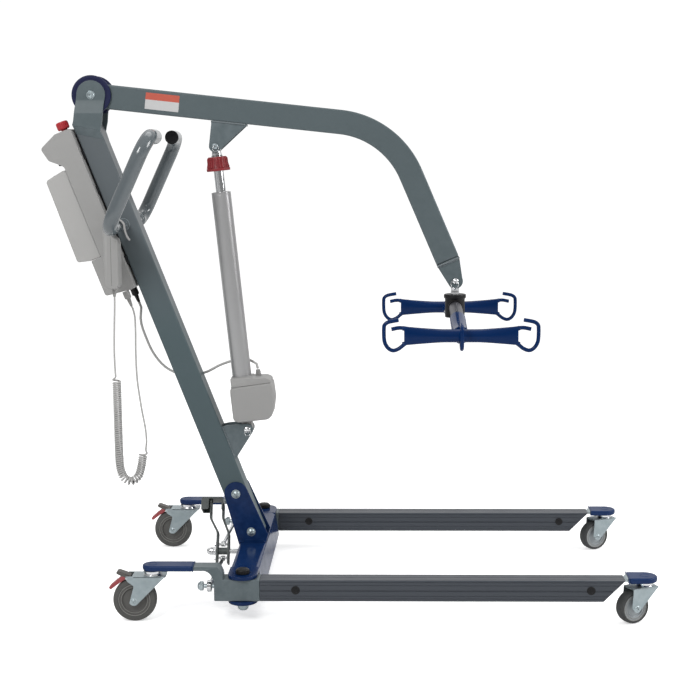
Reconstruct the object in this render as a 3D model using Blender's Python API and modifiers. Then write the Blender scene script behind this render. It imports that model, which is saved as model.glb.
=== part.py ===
"""Patient lift hoist: a wheeled base with opening legs, a leaning mast, an arm raised by an actuator and a
hanging cradle. Metres, +Z up, +X towards the open end of the legs, origin on the floor below the middle."""

import math

import bmesh
import bpy
from mathutils import Matrix, Vector

# Driving dimensions. Lengths along X are counted from the rear wheels' axle.
REAR_AXLE_X = -0.477
GAP = 0.0003

LEG_Y = 0.305
LEG_WIDTH = 0.050
LEG_BOTTOM = 0.050
LEG_TOP = 0.100
LEG_WALL = 0.003
LEG_TUBE_REAR = 0.289
LEG_TUBE_FRONT = 1.120
LEG_BLOCK_REAR = 0.184
LEG_PIVOT_X = 0.248
LEG_PIVOT_BORE = 0.0063

BEAM_HALF = 0.262
PLATE_THICKNESS = 0.008
PLATE_RADIUS = 0.034
BEAM_TOP = 0.108
BEAM_BOTTOM = 0.042

REAR_CASTER_X = 0.042
REAR_CASTER_Y = 0.310
REAR_WHEEL_RADIUS = 0.050
REAR_WHEEL_WIDTH = 0.030
REAR_MOUNT_Z = 0.120
FRONT_CASTER_X = 1.1669
FRONT_CASTER_Y = 0.305
FRONT_WHEEL_RADIUS = 0.0375
FRONT_WHEEL_WIDTH = 0.028
FRONT_TRAIL = 0.033
FRONT_MOUNT_Z = 0.0930
FRONT_SWIVEL_ANGLE = math.radians(27)

MAST_FOOT = Vector((0.253, 0, 0.110))
MAST_LEAN = math.radians(21)
MAST_DEPTH = 0.058
MAST_WIDTH = 0.062
MAST_WALL = 0.003
MAST_LENGTH = 1.0947
MAST_START = 0.012
MAST_BOLTS = (0.0255, 0.128)

BOOM_PIVOT = Vector((-0.124, 0, 1.2018))
BOOM_DROOP = math.radians(6.36)
BOOM_HEIGHT = 0.058
BOOM_WIDTH = 0.046
BOOM_WALL = 0.003
BOOM_STRAIGHT = 0.5974
BOOM_BEND_RADIUS = 0.209
BOOM_BEND = math.radians(60.4)
BOOM_DROP = 0.2251
DISC_RADIUS = 0.0470
EAR_INNER = 0.0315
EAR_THICKNESS = 0.006
EAR_RADIUS = 0.0345

ACTUATOR_FOOT = Vector((0.2361, 0, 0.3884))
ACTUATOR_HEAD = Vector((0.1688, 0, 1.0795))
ACTUATOR_TUBE_RADIUS = 0.0235
ACTUATOR_TUBE_START = 0.1323
ACTUATOR_TUBE_TOP = 0.585
ROD_RADIUS = 0.012
EYE_RADIUS = 0.014

CROSS_TUBE_Z = 0.689
CROSS_TUBE_RADIUS = 0.0155
BAR_Z = 0.656
BAR_Y = 0.290
BAR_HALF = 0.128
BAR_RADIUS = 0.015
HOOK_ROD = 0.0045

HANDLE_Z = 0.8935
HANDLE_X = -0.0545
HANDLE_Y = 0.245
HANDLE_TOP = Vector((0.0425, 0, 1.102))
HANDLE_RADIUS = 0.0172
CROSSBAR_RADIUS = 0.0130
TUBE_WALL = 0.0025
GRIP_END_Y = 0.140

PEDAL_PIVOT_Z = 0.074
PEDAL_LEAN = math.radians(28)
PEDAL_CRANK = 0.0175
TIE_Z = 0.0745
TIE_X = 0.1695
STUD_INSET = 0.014

HANDSET_Y = -0.115
CORD_RADIUS = 0.0022
COIL_RADIUS = 0.0108

SMOOTH_ANGLE = math.radians(35)


# Scene, collections and materials

for leftover in list(bpy.data.objects):
    bpy.data.objects.remove(leftover, do_unlink=True)

PARTS = bpy.data.collections.new("patient_lift_hoist")
CUTTERS = bpy.data.collections.new("cutters")
bpy.context.scene.collection.children.link(PARTS)
bpy.context.scene.collection.children.link(CUTTERS)


def material(name, colour, roughness, metallic):
    finish = bpy.data.materials.new(name)
    finish.use_nodes = True
    shader = finish.node_tree.nodes["Principled BSDF"]
    shader.inputs["Base Color"].default_value = (*colour, 1)
    shader.inputs["Roughness"].default_value = roughness
    shader.inputs["Metallic"].default_value = metallic
    return finish


GREY_PAINT = material("grey_paint", (0.115, 0.135, 0.150), 0.45, 0.0)
LEG_GREY = material("leg_grey", (0.075, 0.080, 0.090), 0.40, 0.3)
BLUE_PAINT = material("blue_paint", (0.008, 0.022, 0.110), 0.40, 0.0)
ZINC = material("zinc", (0.45, 0.50, 0.52), 0.35, 0.9)
CHROME = material("chrome", (0.60, 0.60, 0.60), 0.15, 1.0)
BLACK_PLASTIC = material("black_plastic", (0.012, 0.012, 0.012), 0.50, 0.0)
CASE_PLASTIC = material("case_plastic", (0.42, 0.41, 0.39), 0.50, 0.0)
ACTUATOR_GREY = material("actuator_grey", (0.36, 0.36, 0.36), 0.40, 0.2)
RED_PLASTIC = material("red_plastic", (0.30, 0.020, 0.030), 0.45, 0.0)
TYRE_RUBBER = material("tyre_rubber", (0.11, 0.11, 0.105), 0.70, 0.0)
CORD_GREY = material("cord_grey", (0.30, 0.30, 0.30), 0.55, 0.0)


# Frames

def frame(name, location=(0, 0, 0), rotation=(0, 0, 0), parent=None):
    """An empty whose origin lies on a joint's axis, or at the foot of a sub-assembly."""
    empty = bpy.data.objects.new(name, None)
    empty.location = location
    empty.rotation_euler = rotation
    empty.parent = parent
    CUTTERS.objects.link(empty)
    return empty


# Shape helpers

def arc(cx, cz, radius, start, end, steps):
    """Points on an arc, with its angles in degrees."""
    angles = [math.radians(start + (end - start) * i / steps) for i in range(steps + 1)]
    return [(cx + radius * math.cos(a), cz + radius * math.sin(a)) for a in angles]


def show(obj, finish, parent):
    PARTS.objects.link(obj)
    obj.parent = parent
    obj.data.materials.clear()
    obj.data.materials.append(finish)
    obj.data.shade_smooth()
    obj.data.set_sharp_from_angle(angle=SMOOTH_ANGLE)
    return obj


def hide(obj, parent):
    CUTTERS.objects.link(obj)
    obj.parent = parent
    obj.hide_render = True
    obj.display_type = "WIRE"
    return obj


def box(name, low, high):
    """A block between two opposite corners."""
    low, high = Vector(low), Vector(high)
    bm = bmesh.new()
    bmesh.ops.create_cube(bm, size=1)
    bmesh.ops.scale(bm, vec=high - low, verts=bm.verts)
    bmesh.ops.translate(bm, vec=(low + high) / 2, verts=bm.verts)
    return from_bmesh(name, bm)


def rod(name, start, end, radius, end_radius=None, sides=16):
    """A cylinder or cone between two points."""
    start, end = Vector(start), Vector(end)
    axis = end - start
    bm = bmesh.new()
    bmesh.ops.create_cone(
        bm,
        cap_ends=True,
        segments=sides,
        radius1=radius,
        radius2=radius if end_radius is None else end_radius,
        depth=axis.length,
    )
    turn = axis.to_track_quat("Z", "Y").to_matrix().to_4x4()
    bm.transform(Matrix.Translation((start + end) / 2) @ turn)
    return from_bmesh(name, bm)


def from_bmesh(name, bm):
    mesh = bpy.data.meshes.new(name)
    bm.to_mesh(mesh)
    bm.free()
    return bpy.data.objects.new(name, mesh)


def solid_from_curve(name, curve_object):
    """The curve's solid as a welded mesh, with the curve removed."""
    CUTTERS.objects.link(curve_object)
    bpy.context.view_layer.update()
    graph = bpy.context.evaluated_depsgraph_get()
    mesh = bpy.data.meshes.new_from_object(curve_object.evaluated_get(graph))
    mesh.transform(curve_object.matrix_world)
    bm = bmesh.new()
    bm.from_mesh(mesh)
    bmesh.ops.remove_doubles(bm, verts=bm.verts, dist=0.00001)
    bmesh.ops.recalc_face_normals(bm, faces=bm.faces)
    bm.to_mesh(mesh)
    bm.free()
    mesh.name = name
    bpy.data.objects.remove(curve_object, do_unlink=True)
    return bpy.data.objects.new(name, mesh)


def plate(name, points, thickness, middle=0.0, plane="XZ"):
    """A flat outline with a thickness. An XZ outline lies across Y at the given middle, an XY one at a height,
    and a YZ one across X."""
    curve = bpy.data.curves.new(name, "CURVE")
    curve.dimensions = "2D"
    curve.fill_mode = "BOTH"
    curve.extrude = thickness / 2
    spline = curve.splines.new("POLY")
    spline.points.add(len(points) - 1)
    for target, (u, v) in zip(spline.points, points):
        target.co = (u, v, 0, 1)
    spline.use_cyclic_u = True
    flat = bpy.data.objects.new(name, curve)
    if plane == "XZ":
        flat.rotation_euler = (math.pi / 2, 0, 0)
        flat.location = (0, middle, 0)
    elif plane == "YZ":
        flat.rotation_euler = (math.pi / 2, 0, math.pi / 2)
        flat.location = (middle, 0, 0)
    else:
        flat.location = (0, 0, middle)
    return solid_from_curve(name, flat)


def tube(name, points, radius, resolution=2):
    """A round bar along a polyline."""
    curve = bpy.data.curves.new(name, "CURVE")
    curve.dimensions = "3D"
    curve.bevel_depth = radius
    curve.bevel_resolution = resolution
    curve.use_fill_caps = True
    spline = curve.splines.new("POLY")
    spline.points.add(len(points) - 1)
    for target, point in zip(spline.points, points):
        target.co = (*point, 1)
    return solid_from_curve(name, bpy.data.objects.new(name, curve))


def turned(name, profile, steps=16, ring=True):
    """A profile of (radius, height) points turned about Z. A ring's profile closes on itself, and a solid's
    profile starts and ends on the axis."""
    mesh = bpy.data.meshes.new(name)
    bm = bmesh.new()
    verts = [bm.verts.new((r, 0, z)) for r, z in profile]
    for i in range(len(verts) - 1 + ring):
        bm.edges.new((verts[i], verts[(i + 1) % len(verts)]))
    bm.to_mesh(mesh)
    bm.free()
    piece = bpy.data.objects.new(name, mesh)
    screw = piece.modifiers.new("turn", "SCREW")
    screw.steps = steps
    screw.render_steps = steps
    screw.use_merge_vertices = not ring
    screw.merge_threshold = 0.00001
    screw.use_smooth_shade = True
    return piece


def stand(piece, matrix):
    """Moves a piece's mesh by a matrix, with its modifiers applied."""
    CUTTERS.objects.link(piece)
    bpy.context.view_layer.update()
    graph = bpy.context.evaluated_depsgraph_get()
    mesh = bpy.data.meshes.new_from_object(piece.evaluated_get(graph))
    mesh.transform(matrix)
    mesh.name = piece.name
    name = piece.name
    bpy.data.objects.remove(piece, do_unlink=True)
    return bpy.data.objects.new(name, mesh)


def bevel(obj, width, segments=1):
    """Rounds the edges that turn by more than 40 degrees."""
    rounded = obj.modifiers.new("bevel", "BEVEL")
    rounded.width = width
    rounded.segments = segments
    rounded.limit_method = "ANGLE"
    rounded.angle_limit = math.radians(40)


def combine(obj, other, operation):
    hide(other, obj.parent)
    step = obj.modifiers.new(other.name, "BOOLEAN")
    step.operation = operation
    step.object = other
    step.solver = "EXACT"
    return obj


def add(obj, other):
    return combine(obj, other, "UNION")


def cut(obj, other):
    return combine(obj, other, "DIFFERENCE")


def fillet(points, radius, steps=5):
    """A polyline through points with its corners rounded by arcs."""
    points = [Vector(p) for p in points]
    path = [points[0]]
    for before, corner, after in zip(points, points[1:], points[2:]):
        back = (before - corner).normalized()
        ahead = (after - corner).normalized()
        half = back.angle(ahead) / 2
        reach = radius / math.tan(half)
        centre = corner + (back + ahead).normalized() * radius / math.sin(half)
        start = corner + back * reach - centre
        end = corner + ahead * reach - centre
        for i in range(steps + 1):
            turn = start.normalized().slerp(end.normalized(), i / steps)
            path.append(centre + turn * radius)
    path.append(points[-1])
    return path


def smooth_path(points, spacing):
    """Points at about the given spacing on a smooth curve through a route's own points."""
    points = [Vector(p) for p in points]
    ends = [2 * points[0] - points[1], *points, 2 * points[-1] - points[-2]]
    dense = []
    for a, b, c, d in zip(ends, ends[1:], ends[2:], ends[3:]):
        for i in range(20):
            t = i / 20
            dense.append(0.5 * (2 * b + (c - a) * t + (2 * a - 5 * b + 4 * c - d) * t**2
                                + (3 * b - a - 3 * c + d) * t**3))
    dense.append(points[-1])
    lengths = [0.0]
    for a, b in zip(dense, dense[1:]):
        lengths.append(lengths[-1] + (b - a).length)
    count = max(2, round(lengths[-1] / spacing))
    path = []
    at = 0
    for i in range(count + 1):
        goal = lengths[-1] * i / count
        while at < len(dense) - 2 and lengths[at + 1] < goal:
            at += 1
        share = (goal - lengths[at]) / (lengths[at + 1] - lengths[at])
        path.append(dense[at].lerp(dense[at + 1], share))
    return path


# Base: crossmember with its mast socket, legs and their covers

base = frame("base_frame", (REAR_AXLE_X, 0, 0))


def clamp_plate(name, side, middle):
    """A lug of the crossmember, round about the leg's pivot."""
    inner = BEAM_HALF - 0.012
    points = [(LEG_PIVOT_X + PLATE_RADIUS, side * inner)]
    points += arc(LEG_PIVOT_X, side * LEG_Y, PLATE_RADIUS, 0, side * 180, 12)
    points.append((LEG_PIVOT_X - PLATE_RADIUS, side * inner))
    return plate(name, points, PLATE_THICKNESS, middle, "XY")


def socket_plate(name, middle):
    """One cheek of the mast's socket: round on top, flared to the beam."""
    centre = to_mast(0.0005, 0, MAST_BOLTS[1])
    top = arc(centre.x, centre.z, 0.0295, 194, 24.5, 8)
    outline = [(0.2861, 0.1254), (0.2845, 0.122), (0.2790, 0.100), (0.2135, 0.100)]
    return plate(name, outline + top, 0.0050, middle)


def crossmember():
    section = [(0.216, BEAM_TOP), (0.281, BEAM_TOP), (0.292, BEAM_BOTTOM), (0.205, BEAM_BOTTOM)]
    beam = show(plate("crossmember", section, 2 * BEAM_HALF), BLUE_PAINT, base)
    for side, label in ((-1, "right"), (1, "left")):
        top_middle = LEG_TOP + 0.0005 + PLATE_THICKNESS / 2
        low_middle = LEG_BOTTOM - 0.0005 - PLATE_THICKNESS / 2
        add(beam, clamp_plate(f"top_lug_{label}", side, top_middle))
        add(beam, clamp_plate(f"bottom_lug_{label}", side, low_middle))
        cheek_middle = side * (MAST_WIDTH / 2 + GAP + 0.0025)
        add(beam, socket_plate(f"socket_{label}", cheek_middle))
    for side, label in ((-1, "right"), (1, "left")):
        low = (LEG_PIVOT_X, side * LEG_Y, BEAM_BOTTOM - 0.010)
        high = (LEG_PIVOT_X, side * LEG_Y, BEAM_TOP + 0.010)
        cut(beam, rod(f"lug_bore_{label}", low, high, LEG_PIVOT_BORE, sides=12))
    for i, along in enumerate(MAST_BOLTS):
        cut(beam, mast_bolt_bore(f"socket_bore_{i}", along, BASE_SPACE))
    under = [(0.2220, BEAM_TOP - 0.005), (0.2750, BEAM_TOP - 0.005)]
    under += [(0.2875, BEAM_BOTTOM - 0.005), (0.2095, BEAM_BOTTOM - 0.005)]
    cut(beam, plate("channel_inside", under, 2 * BEAM_HALF - 0.030))
    cut(beam, rod("pedal_bore", (0.190, 0, PEDAL_PIVOT_Z), (0.235, 0, PEDAL_PIVOT_Z), 0.0063, sides=12))
    return beam


def to_mast(x, y, z):
    """A place given in the mast's own frame, in the base's frame."""
    turn = Matrix.Rotation(-MAST_LEAN, 3, "Y")
    return MAST_FOOT + turn @ Vector((x, y, z))


def in_mast(place):
    """A place given in the base's frame, in the mast's own frame."""
    return Matrix.Rotation(MAST_LEAN, 3, "Y") @ (Vector(place) - MAST_FOOT)


BASE_SPACE = "base"
MAST_SPACE = "mast"


def mast_bolt_bore(name, along, space):
    reach = MAST_WIDTH / 2 + 0.012
    ends = [(0, -reach, along), (0, reach, along)]
    if space == BASE_SPACE:
        ends = [to_mast(*end) for end in ends]
    return rod(name, *ends, 0.0053, sides=12)


crossmember()


def leg_block(side, label, parent):
    """The steel end block of a leg, with the raised arm that carries the rear caster. Drawn about the leg's
    pivot axis."""
    def at(x, y, z):
        return (x - LEG_PIVOT_X, y * side - LEG_Y * side, z)

    def block(name, low, high):
        a, b = Vector(at(*low)), Vector(at(*high))
        lowest = [min(p, q) for p, q in zip(a, b)]
        highest = [max(p, q) for p, q in zip(a, b)]
        return box(name, lowest, highest)

    half = LEG_WIDTH / 2
    body = block(
        f"{label}_leg_block",
        (LEG_BLOCK_REAR, LEG_Y - half, LEG_BOTTOM),
        (LEG_TUBE_REAR - GAP, LEG_Y + half, LEG_TOP),
    )
    show(body, GREY_PAINT, parent)
    spigot_half = half - LEG_WALL - GAP
    spigot_low = LEG_BOTTOM + LEG_WALL + GAP
    spigot_high = LEG_TOP - LEG_WALL - GAP
    spigot = block(
        f"{label}_spigot",
        (LEG_TUBE_REAR - 0.010, LEG_Y - spigot_half, spigot_low),
        (LEG_TUBE_REAR + 0.045, LEG_Y + spigot_half, spigot_high),
    )
    add(body, spigot)
    arm_points = [(0.036, 0.1305), (0.036, 0.1215), (0.158, 0.1215)]
    arm_points += arc(0.158, 0.0985, 0.0230, 90, 10, 6)
    arm_points += [(0.186, 0.098), (0.204, 0.098), (0.203, 0.114), (0.192, 0.1305)]
    arm_points = [(x - LEG_PIVOT_X, z) for x, z in arm_points]
    arm_middle = side * (REAR_CASTER_Y - LEG_Y)
    add(body, plate(f"{label}_rear_arm", arm_points, 0.040, arm_middle))
    stud_y = LEG_Y - STUD_INSET
    add(body, rod(f"{label}_stud", at(0.147, stud_y, TIE_Z), at(0.190, stud_y, TIE_Z), 0.0050))
    add(body, rod(f"{label}_stud_nut", at(0.149, stud_y, TIE_Z), at(0.157, stud_y, TIE_Z), 0.0115, sides=6))
    bore = rod(f"{label}_pivot_bore", (0, 0, 0.030), (0, 0, 0.120), LEG_PIVOT_BORE, sides=12)
    cut(body, bore)
    return body


def leg_tube(side, label, parent):
    """The hollow leg, cut back at 45 degrees in front, with the flat bar that carries the front caster."""
    half = LEG_WIDTH / 2
    rear = LEG_TUBE_REAR - LEG_PIVOT_X
    front = LEG_TUBE_FRONT - LEG_PIVOT_X
    slope = LEG_TOP - LEG_BOTTOM
    outer = [(rear, LEG_BOTTOM), (front - slope, LEG_BOTTOM), (front, LEG_TOP), (rear, LEG_TOP)]
    body = show(plate(f"{label}_leg_tube", outer, LEG_WIDTH), LEG_GREY, parent)
    inside = box(
        f"{label}_leg_inside",
        (rear - 0.02, -half + LEG_WALL, LEG_BOTTOM + LEG_WALL),
        (front + 0.02, half - LEG_WALL, LEG_TOP - LEG_WALL),
    )
    cut(body, inside)
    bar_points = [(front - 0.035, 0.0958), (front + 0.046, 0.0958), (front + 0.046, 0.1042)]
    bar_points += [(front - 0.006, 0.1042), (front - 0.012, 0.0986), (front - 0.035, 0.0986)]
    add(body, plate(f"{label}_front_bar", bar_points, 0.036))
    return body


def caster_cover(name, centre_x, centre_y, root_x, radius, low, high, bar, parent):
    """A moulded sleeve over a flat bar, round about the caster's swivel axis, with a pocket for the bar."""
    facing = 1 if root_x > centre_x else -1
    start = -90 if facing < 0 else 90
    points = arc(centre_x, centre_y, radius, start, start + 180, 12)
    points += [(root_x, centre_y + facing * -radius), (root_x, centre_y + facing * radius)]
    sleeve = show(plate(name, points, high - low, (low + high) / 2, "XY"), BLUE_PAINT, parent)
    bevel(sleeve, 0.0015)
    half, bar_low, bar_high, bar_end, bar_y = bar
    beyond = root_x + facing * 0.010
    pocket = box(
        f"{name}_pocket",
        (min(bar_end, beyond), bar_y - half - GAP, bar_low - GAP),
        (max(bar_end, beyond), bar_y + half + GAP, bar_high + GAP),
    )
    cut(sleeve, pocket)
    return sleeve


def pivot_bolt(label, parent):
    """The leg's pivot bolt: a round head below and a black cap on top."""
    profile = [(0, 0.1175), (0.0120, 0.1170), (0.0150, 0.1145), (0.0150, 0.1090), (0.0060, 0.1090)]
    profile += [(0.0060, 0.0410), (0.0135, 0.0410), (0.0135, 0.0290), (0.0100, 0.0235), (0, 0.0220)]
    return show(turned(f"{label}_leg_pivot_bolt", profile, 16, ring=False), ZINC, parent)


# Casters

def wheel(name, radius, width, hub_width, bore, parent):
    """Tyre and hub in one ring, turned about its axle."""
    half = width / 2
    outer = [(radius * 0.30, hub_width / 2), (radius * 0.34, half * 0.72), (radius * 0.66, half * 0.72)]
    outer += [(radius * 0.72, half), (radius * 0.90, half), (radius * 0.975, half * 0.72), (radius, half * 0.2)]
    mirrored = [(r, -z) for r, z in reversed(outer)]
    profile = [(bore, hub_width / 2), *outer, *mirrored, (bore, -hub_width / 2)]
    piece = turned(name, profile, 24)
    piece = stand(piece, Matrix.Rotation(math.pi / 2, 4, "X"))
    return show(piece, TYRE_RUBBER, parent)


def fork(name, side_outline, inner, outer, top, ring, axle, parent):
    """A swivel fork: two side plates under a top plate, the raceway ring, and the axle bolt through them."""
    top_low, top_high, top_rear, top_front = top
    plate_top = box(f"{name}_blank", (top_rear, -outer, top_low), (top_front, outer, top_high))
    plate_top.name = name
    body = show(plate_top, ZINC, parent)
    for sign, label in ((-1, "near"), (1, "far")):
        cheek = plate(f"{name}_{label}_cheek", side_outline, outer - inner, sign * (inner + outer) / 2)
        add(body, cheek)
    ring_radius, ring_top = ring
    add(body, rod(f"{name}_ring", (0, 0, top_high - 0.001), (0, 0, ring_top), ring_radius, sides=20))
    axle_x, axle_z, axle_radius = axle
    reach = outer + 0.0045
    add(body, rod(f"{name}_axle", (axle_x, -reach, axle_z), (axle_x, reach, axle_z), axle_radius, sides=12))
    return body


def rear_caster(side, label, parent):
    """A braked swivel caster, drawn about its swivel axis and trailing to the rear."""
    swivel = frame(
        f"rear_{label}_swivel",
        (REAR_CASTER_X - LEG_PIVOT_X, side * (REAR_CASTER_Y - LEG_Y), 0),
        parent=parent,
    )
    trail = REAR_CASTER_X
    cheeks = [(-0.061, 0.1085), (-0.057, 0.0965), (-0.0415, 0.0855), (-0.0520, 0.0470)]
    cheeks += arc(-trail, REAR_WHEEL_RADIUS, 0.0110, 200, 325, 5)
    cheeks += [(0.024, 0.1010), (0.032, 0.1085)]
    fork(
        f"rear_{label}_fork",
        cheeks,
        0.0190,
        0.0215,
        (0.1045, 0.1080, -0.046, 0.031),
        (0.0210, REAR_MOUNT_Z - GAP),
        (-trail, REAR_WHEEL_RADIUS, 0.0040),
        swivel,
    )
    axle = frame(f"rear_{label}_axle", (-trail, 0, REAR_WHEEL_RADIUS), parent=swivel)
    wheel(f"rear_{label}_wheel", REAR_WHEEL_RADIUS, REAR_WHEEL_WIDTH, 0.0350, 0.0043, axle)
    hinge = frame(f"rear_{label}_brake_hinge", (-trail - 0.015, 0, 0.1040), parent=swivel)
    lever = [(0.0080, -0.0020), (0.0080, 0.0030), (-0.0060, 0.0090), (-0.0210, 0.0135), (-0.0245, 0.0095)]
    lever += [(-0.0110, 0.0030), (-0.0430, -0.0235), (-0.0395, -0.0300), (-0.0060, -0.0060)]
    show(plate(f"rear_{label}_brake_pedal", lever, 0.022), RED_PLASTIC, hinge)


def front_caster(side, label, parent):
    """A plain swivel caster, turned a little on its axis."""
    swivel = frame(
        f"front_{label}_swivel",
        (FRONT_CASTER_X - LEG_PIVOT_X, side * (FRONT_CASTER_Y - LEG_Y), 0),
        (0, 0, FRONT_SWIVEL_ANGLE),
        parent=parent,
    )
    cheeks = [(-0.044, 0.0840), (-0.044, 0.0740), (-0.0475, 0.0400)]
    cheeks += arc(-FRONT_TRAIL, FRONT_WHEEL_RADIUS, 0.0105, 190, 325, 5)
    cheeks += [(0.018, 0.0740), (0.025, 0.0800), (0.025, 0.0840)]
    fork(
        f"front_{label}_fork",
        cheeks,
        0.0175,
        0.0200,
        (0.0805, 0.0838, -0.043, 0.0245),
        (0.0190, FRONT_MOUNT_Z - GAP),
        (-FRONT_TRAIL, FRONT_WHEEL_RADIUS, 0.0040),
        swivel,
    )
    axle = frame(f"front_{label}_axle", (-FRONT_TRAIL, 0, FRONT_WHEEL_RADIUS), parent=swivel)
    wheel(f"front_{label}_wheel", FRONT_WHEEL_RADIUS, FRONT_WHEEL_WIDTH, 0.0320, 0.0043, axle)


def leg(side, label):
    pivot = frame(f"{label}_leg_pivot", (LEG_PIVOT_X, side * LEG_Y, 0), parent=base)
    leg_block(side, label, pivot)
    leg_tube(side, label, pivot)
    arm_y = side * (REAR_CASTER_Y - LEG_Y)
    caster_cover(
        f"{label}_rear_arm_cover",
        REAR_CASTER_X - LEG_PIVOT_X,
        arm_y,
        0.1364 - LEG_PIVOT_X,
        0.0230,
        REAR_MOUNT_Z,
        REAR_MOUNT_Z + 0.0130,
        (0.020, 0.1215, 0.1305, 0.035 - LEG_PIVOT_X, arm_y),
        pivot,
    )
    cover_y = side * (FRONT_CASTER_Y - LEG_Y)
    caster_cover(
        f"{label}_front_cover",
        FRONT_CASTER_X - LEG_PIVOT_X,
        cover_y,
        1.1280 - LEG_PIVOT_X,
        0.0285,
        FRONT_MOUNT_Z,
        FRONT_MOUNT_Z + 0.0135,
        (0.018, 0.0958, 0.1042, 1.1665 - LEG_PIVOT_X, cover_y),
        pivot,
    )
    pivot_bolt(label, pivot)
    rear_caster(side, label, pivot)
    front_caster(side, label, pivot)


leg(-1, "right")
leg(1, "left")


# Leg-opening pedal: a lever on a bolt along X, and a tie rod to each leg

def pedal():
    pivot = frame("pedal_pivot", (0, 0, PEDAL_PIVOT_Z), (-PEDAL_LEAN, 0, 0), base)
    pad = [(0.112, 0.130), (0.115, 0.134), (0.164, 0.134), (0.167, 0.130), (0.167, 0.102), (0.112, 0.102)]
    channel = show(plate("pedal_lever", pad, 0.046), GREY_PAINT, pivot)
    bevel(channel, 0.002)
    cut(channel, box("pedal_hollow", (0.116, -0.0205, 0.080), (0.163, 0.0205, 0.130)))
    cut(channel, box("pedal_opening", (0.131, -0.030, 0.085), (0.163, 0.030, 0.127)))
    rear_arm = [(0.1330, 0.1315), (0.1330, 0.082), (0.1525, 0.046), (0.1525, -0.033), (0.1575, -0.033)]
    rear_arm += [(0.1575, 0.048), (0.1380, 0.084), (0.1380, 0.1315)]
    front_arm = [(0.1640, 0.120), (0.1640, 0.082), (0.1805, 0.042), (0.1805, -0.033), (0.1855, -0.033)]
    front_arm += [(0.1855, 0.044), (0.1690, 0.084), (0.1690, 0.120)]
    add(channel, plate("pedal_rear_arm", rear_arm, 0.026))
    add(channel, plate("pedal_front_arm", front_arm, 0.026))
    add(channel, rod("pedal_boss", (0.1530, 0, 0), (0.1850, 0, 0), 0.0088, sides=12))
    for sign, label in ((-1, "right"), (1, "left")):
        height = sign * PEDAL_CRANK
        add(channel, rod(f"pedal_pin_{label}", (0.1560, 0, height), (0.1835, 0, height), 0.0033, sides=10))
    cut(channel, rod("pedal_pivot_bore", (0.100, 0, 0), (0.200, 0, 0), 0.0063, sides=12))
    bolt = [(0, 0), (0.0045, 0.001), (0.0085, 0.006), (0.0095, 0.012), (0.0095, 0.0240), (0.0060, 0.0240)]
    bolt += [(0.0060, 0.104), (0, 0.104)]
    turn = Matrix.Translation((0.128, 0, PEDAL_PIVOT_Z)) @ Matrix.Rotation(math.pi / 2, 4, "Y")
    bolt_piece = turned("pedal_pivot_bolt", bolt[::-1], 12, ring=False)
    show(stand(bolt_piece, turn), CHROME, base)


def tie_rod(side, label):
    """From a pin between the lever's arms to the stud behind the leg's block, with an open eye on each."""
    stud_y = side * (LEG_Y - STUD_INSET)
    pin_y = side * PEDAL_CRANK * math.sin(PEDAL_LEAN)
    pin_z = PEDAL_PIVOT_Z + side * PEDAL_CRANK * (1 + math.cos(PEDAL_LEAN)) / 2
    near, far = TIE_X - 0.0050, TIE_X + 0.0050
    slide = frame(f"{label}_tie_rod_slide", parent=base)
    piece = show(rod(f"{label}_tie_rod", (near, stud_y, TIE_Z), (far, stud_y, TIE_Z), 0.0135), CHROME, slide)
    inner = (TIE_X, pin_y + side * 0.0065, pin_z)
    outer = (TIE_X, stud_y - side * 0.0100, TIE_Z)
    add(piece, rod(f"{label}_tie_bar", outer, inner, 0.0045, sides=10))
    add(piece, rod(f"{label}_pin_eye", (near, pin_y, pin_z), (far, pin_y, pin_z), 0.0069))
    cut(piece, rod(f"{label}_stud_bore", (0.15, stud_y, TIE_Z), (0.19, stud_y, TIE_Z), 0.0085, sides=12))
    cut(piece, rod(f"{label}_pin_bore", (0.15, pin_y, pin_z), (0.19, pin_y, pin_z), 0.0050, sides=12))


pedal()
tie_rod(-1, "right")
tie_rod(1, "left")


# Mast, its head and the handles

mast = frame("mast_frame", MAST_FOOT, (0, -MAST_LEAN, 0), base)


def mast_tube():
    half_x, half_y = MAST_DEPTH / 2, MAST_WIDTH / 2
    body = box("mast_tube", (-half_x, -half_y, MAST_START), (half_x, half_y, MAST_LENGTH))
    show(body, GREY_PAINT, mast)
    pin = in_mast(ACTUATOR_FOOT)
    for sign, label in ((-1, "right"), (1, "left")):
        ear = [(half_x - 0.002, 0.2080), (half_x + 0.002, 0.2080)]
        ear += arc(pin.x, pin.z, 0.0150, -60, 75, 6)
        ear += [(half_x + 0.002, 0.2950), (half_x - 0.002, 0.2950)]
        add(body, plate(f"actuator_ear_{label}", ear, 0.0050, sign * 0.0205))
    inside = box(
        "mast_inside",
        (-half_x + MAST_WALL, -half_y + MAST_WALL, MAST_START - 0.02),
        (half_x - MAST_WALL, half_y - MAST_WALL, MAST_LENGTH + 0.02),
    )
    cut(body, inside)
    for i, along in enumerate(MAST_BOLTS):
        cut(body, mast_bolt_bore(f"mast_bore_{i}", along, MAST_SPACE))
    bar = in_mast((HANDLE_X, 0, HANDLE_Z))
    cut(body, rod("handle_bore", (bar.x, -0.05, bar.z), (bar.x, 0.05, bar.z), CROSSBAR_RADIUS + GAP))
    cut(body, rod("lower_pin_bore", (pin.x, -0.05, pin.z), (pin.x, 0.05, pin.z), 0.0053, sides=12))


def mast_bolt(name, along):
    """A bolt right through the socket and the mast, with a head on one side and a nut on the other."""
    reach = MAST_WIDTH / 2 + GAP + 0.0050
    piece = rod(name, (0, -reach - 0.001, along), (0, reach + 0.011, along), 0.0050, sides=12)
    show(piece, ZINC, mast)
    add(piece, rod(f"{name}_head", (0, -reach - 0.0065, along), (0, -reach - GAP, along), 0.0075, 0.0095, 12))
    add(piece, rod(f"{name}_nut", (0, reach + GAP, along), (0, reach + 0.0083, along), 0.0095, sides=6))


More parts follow.
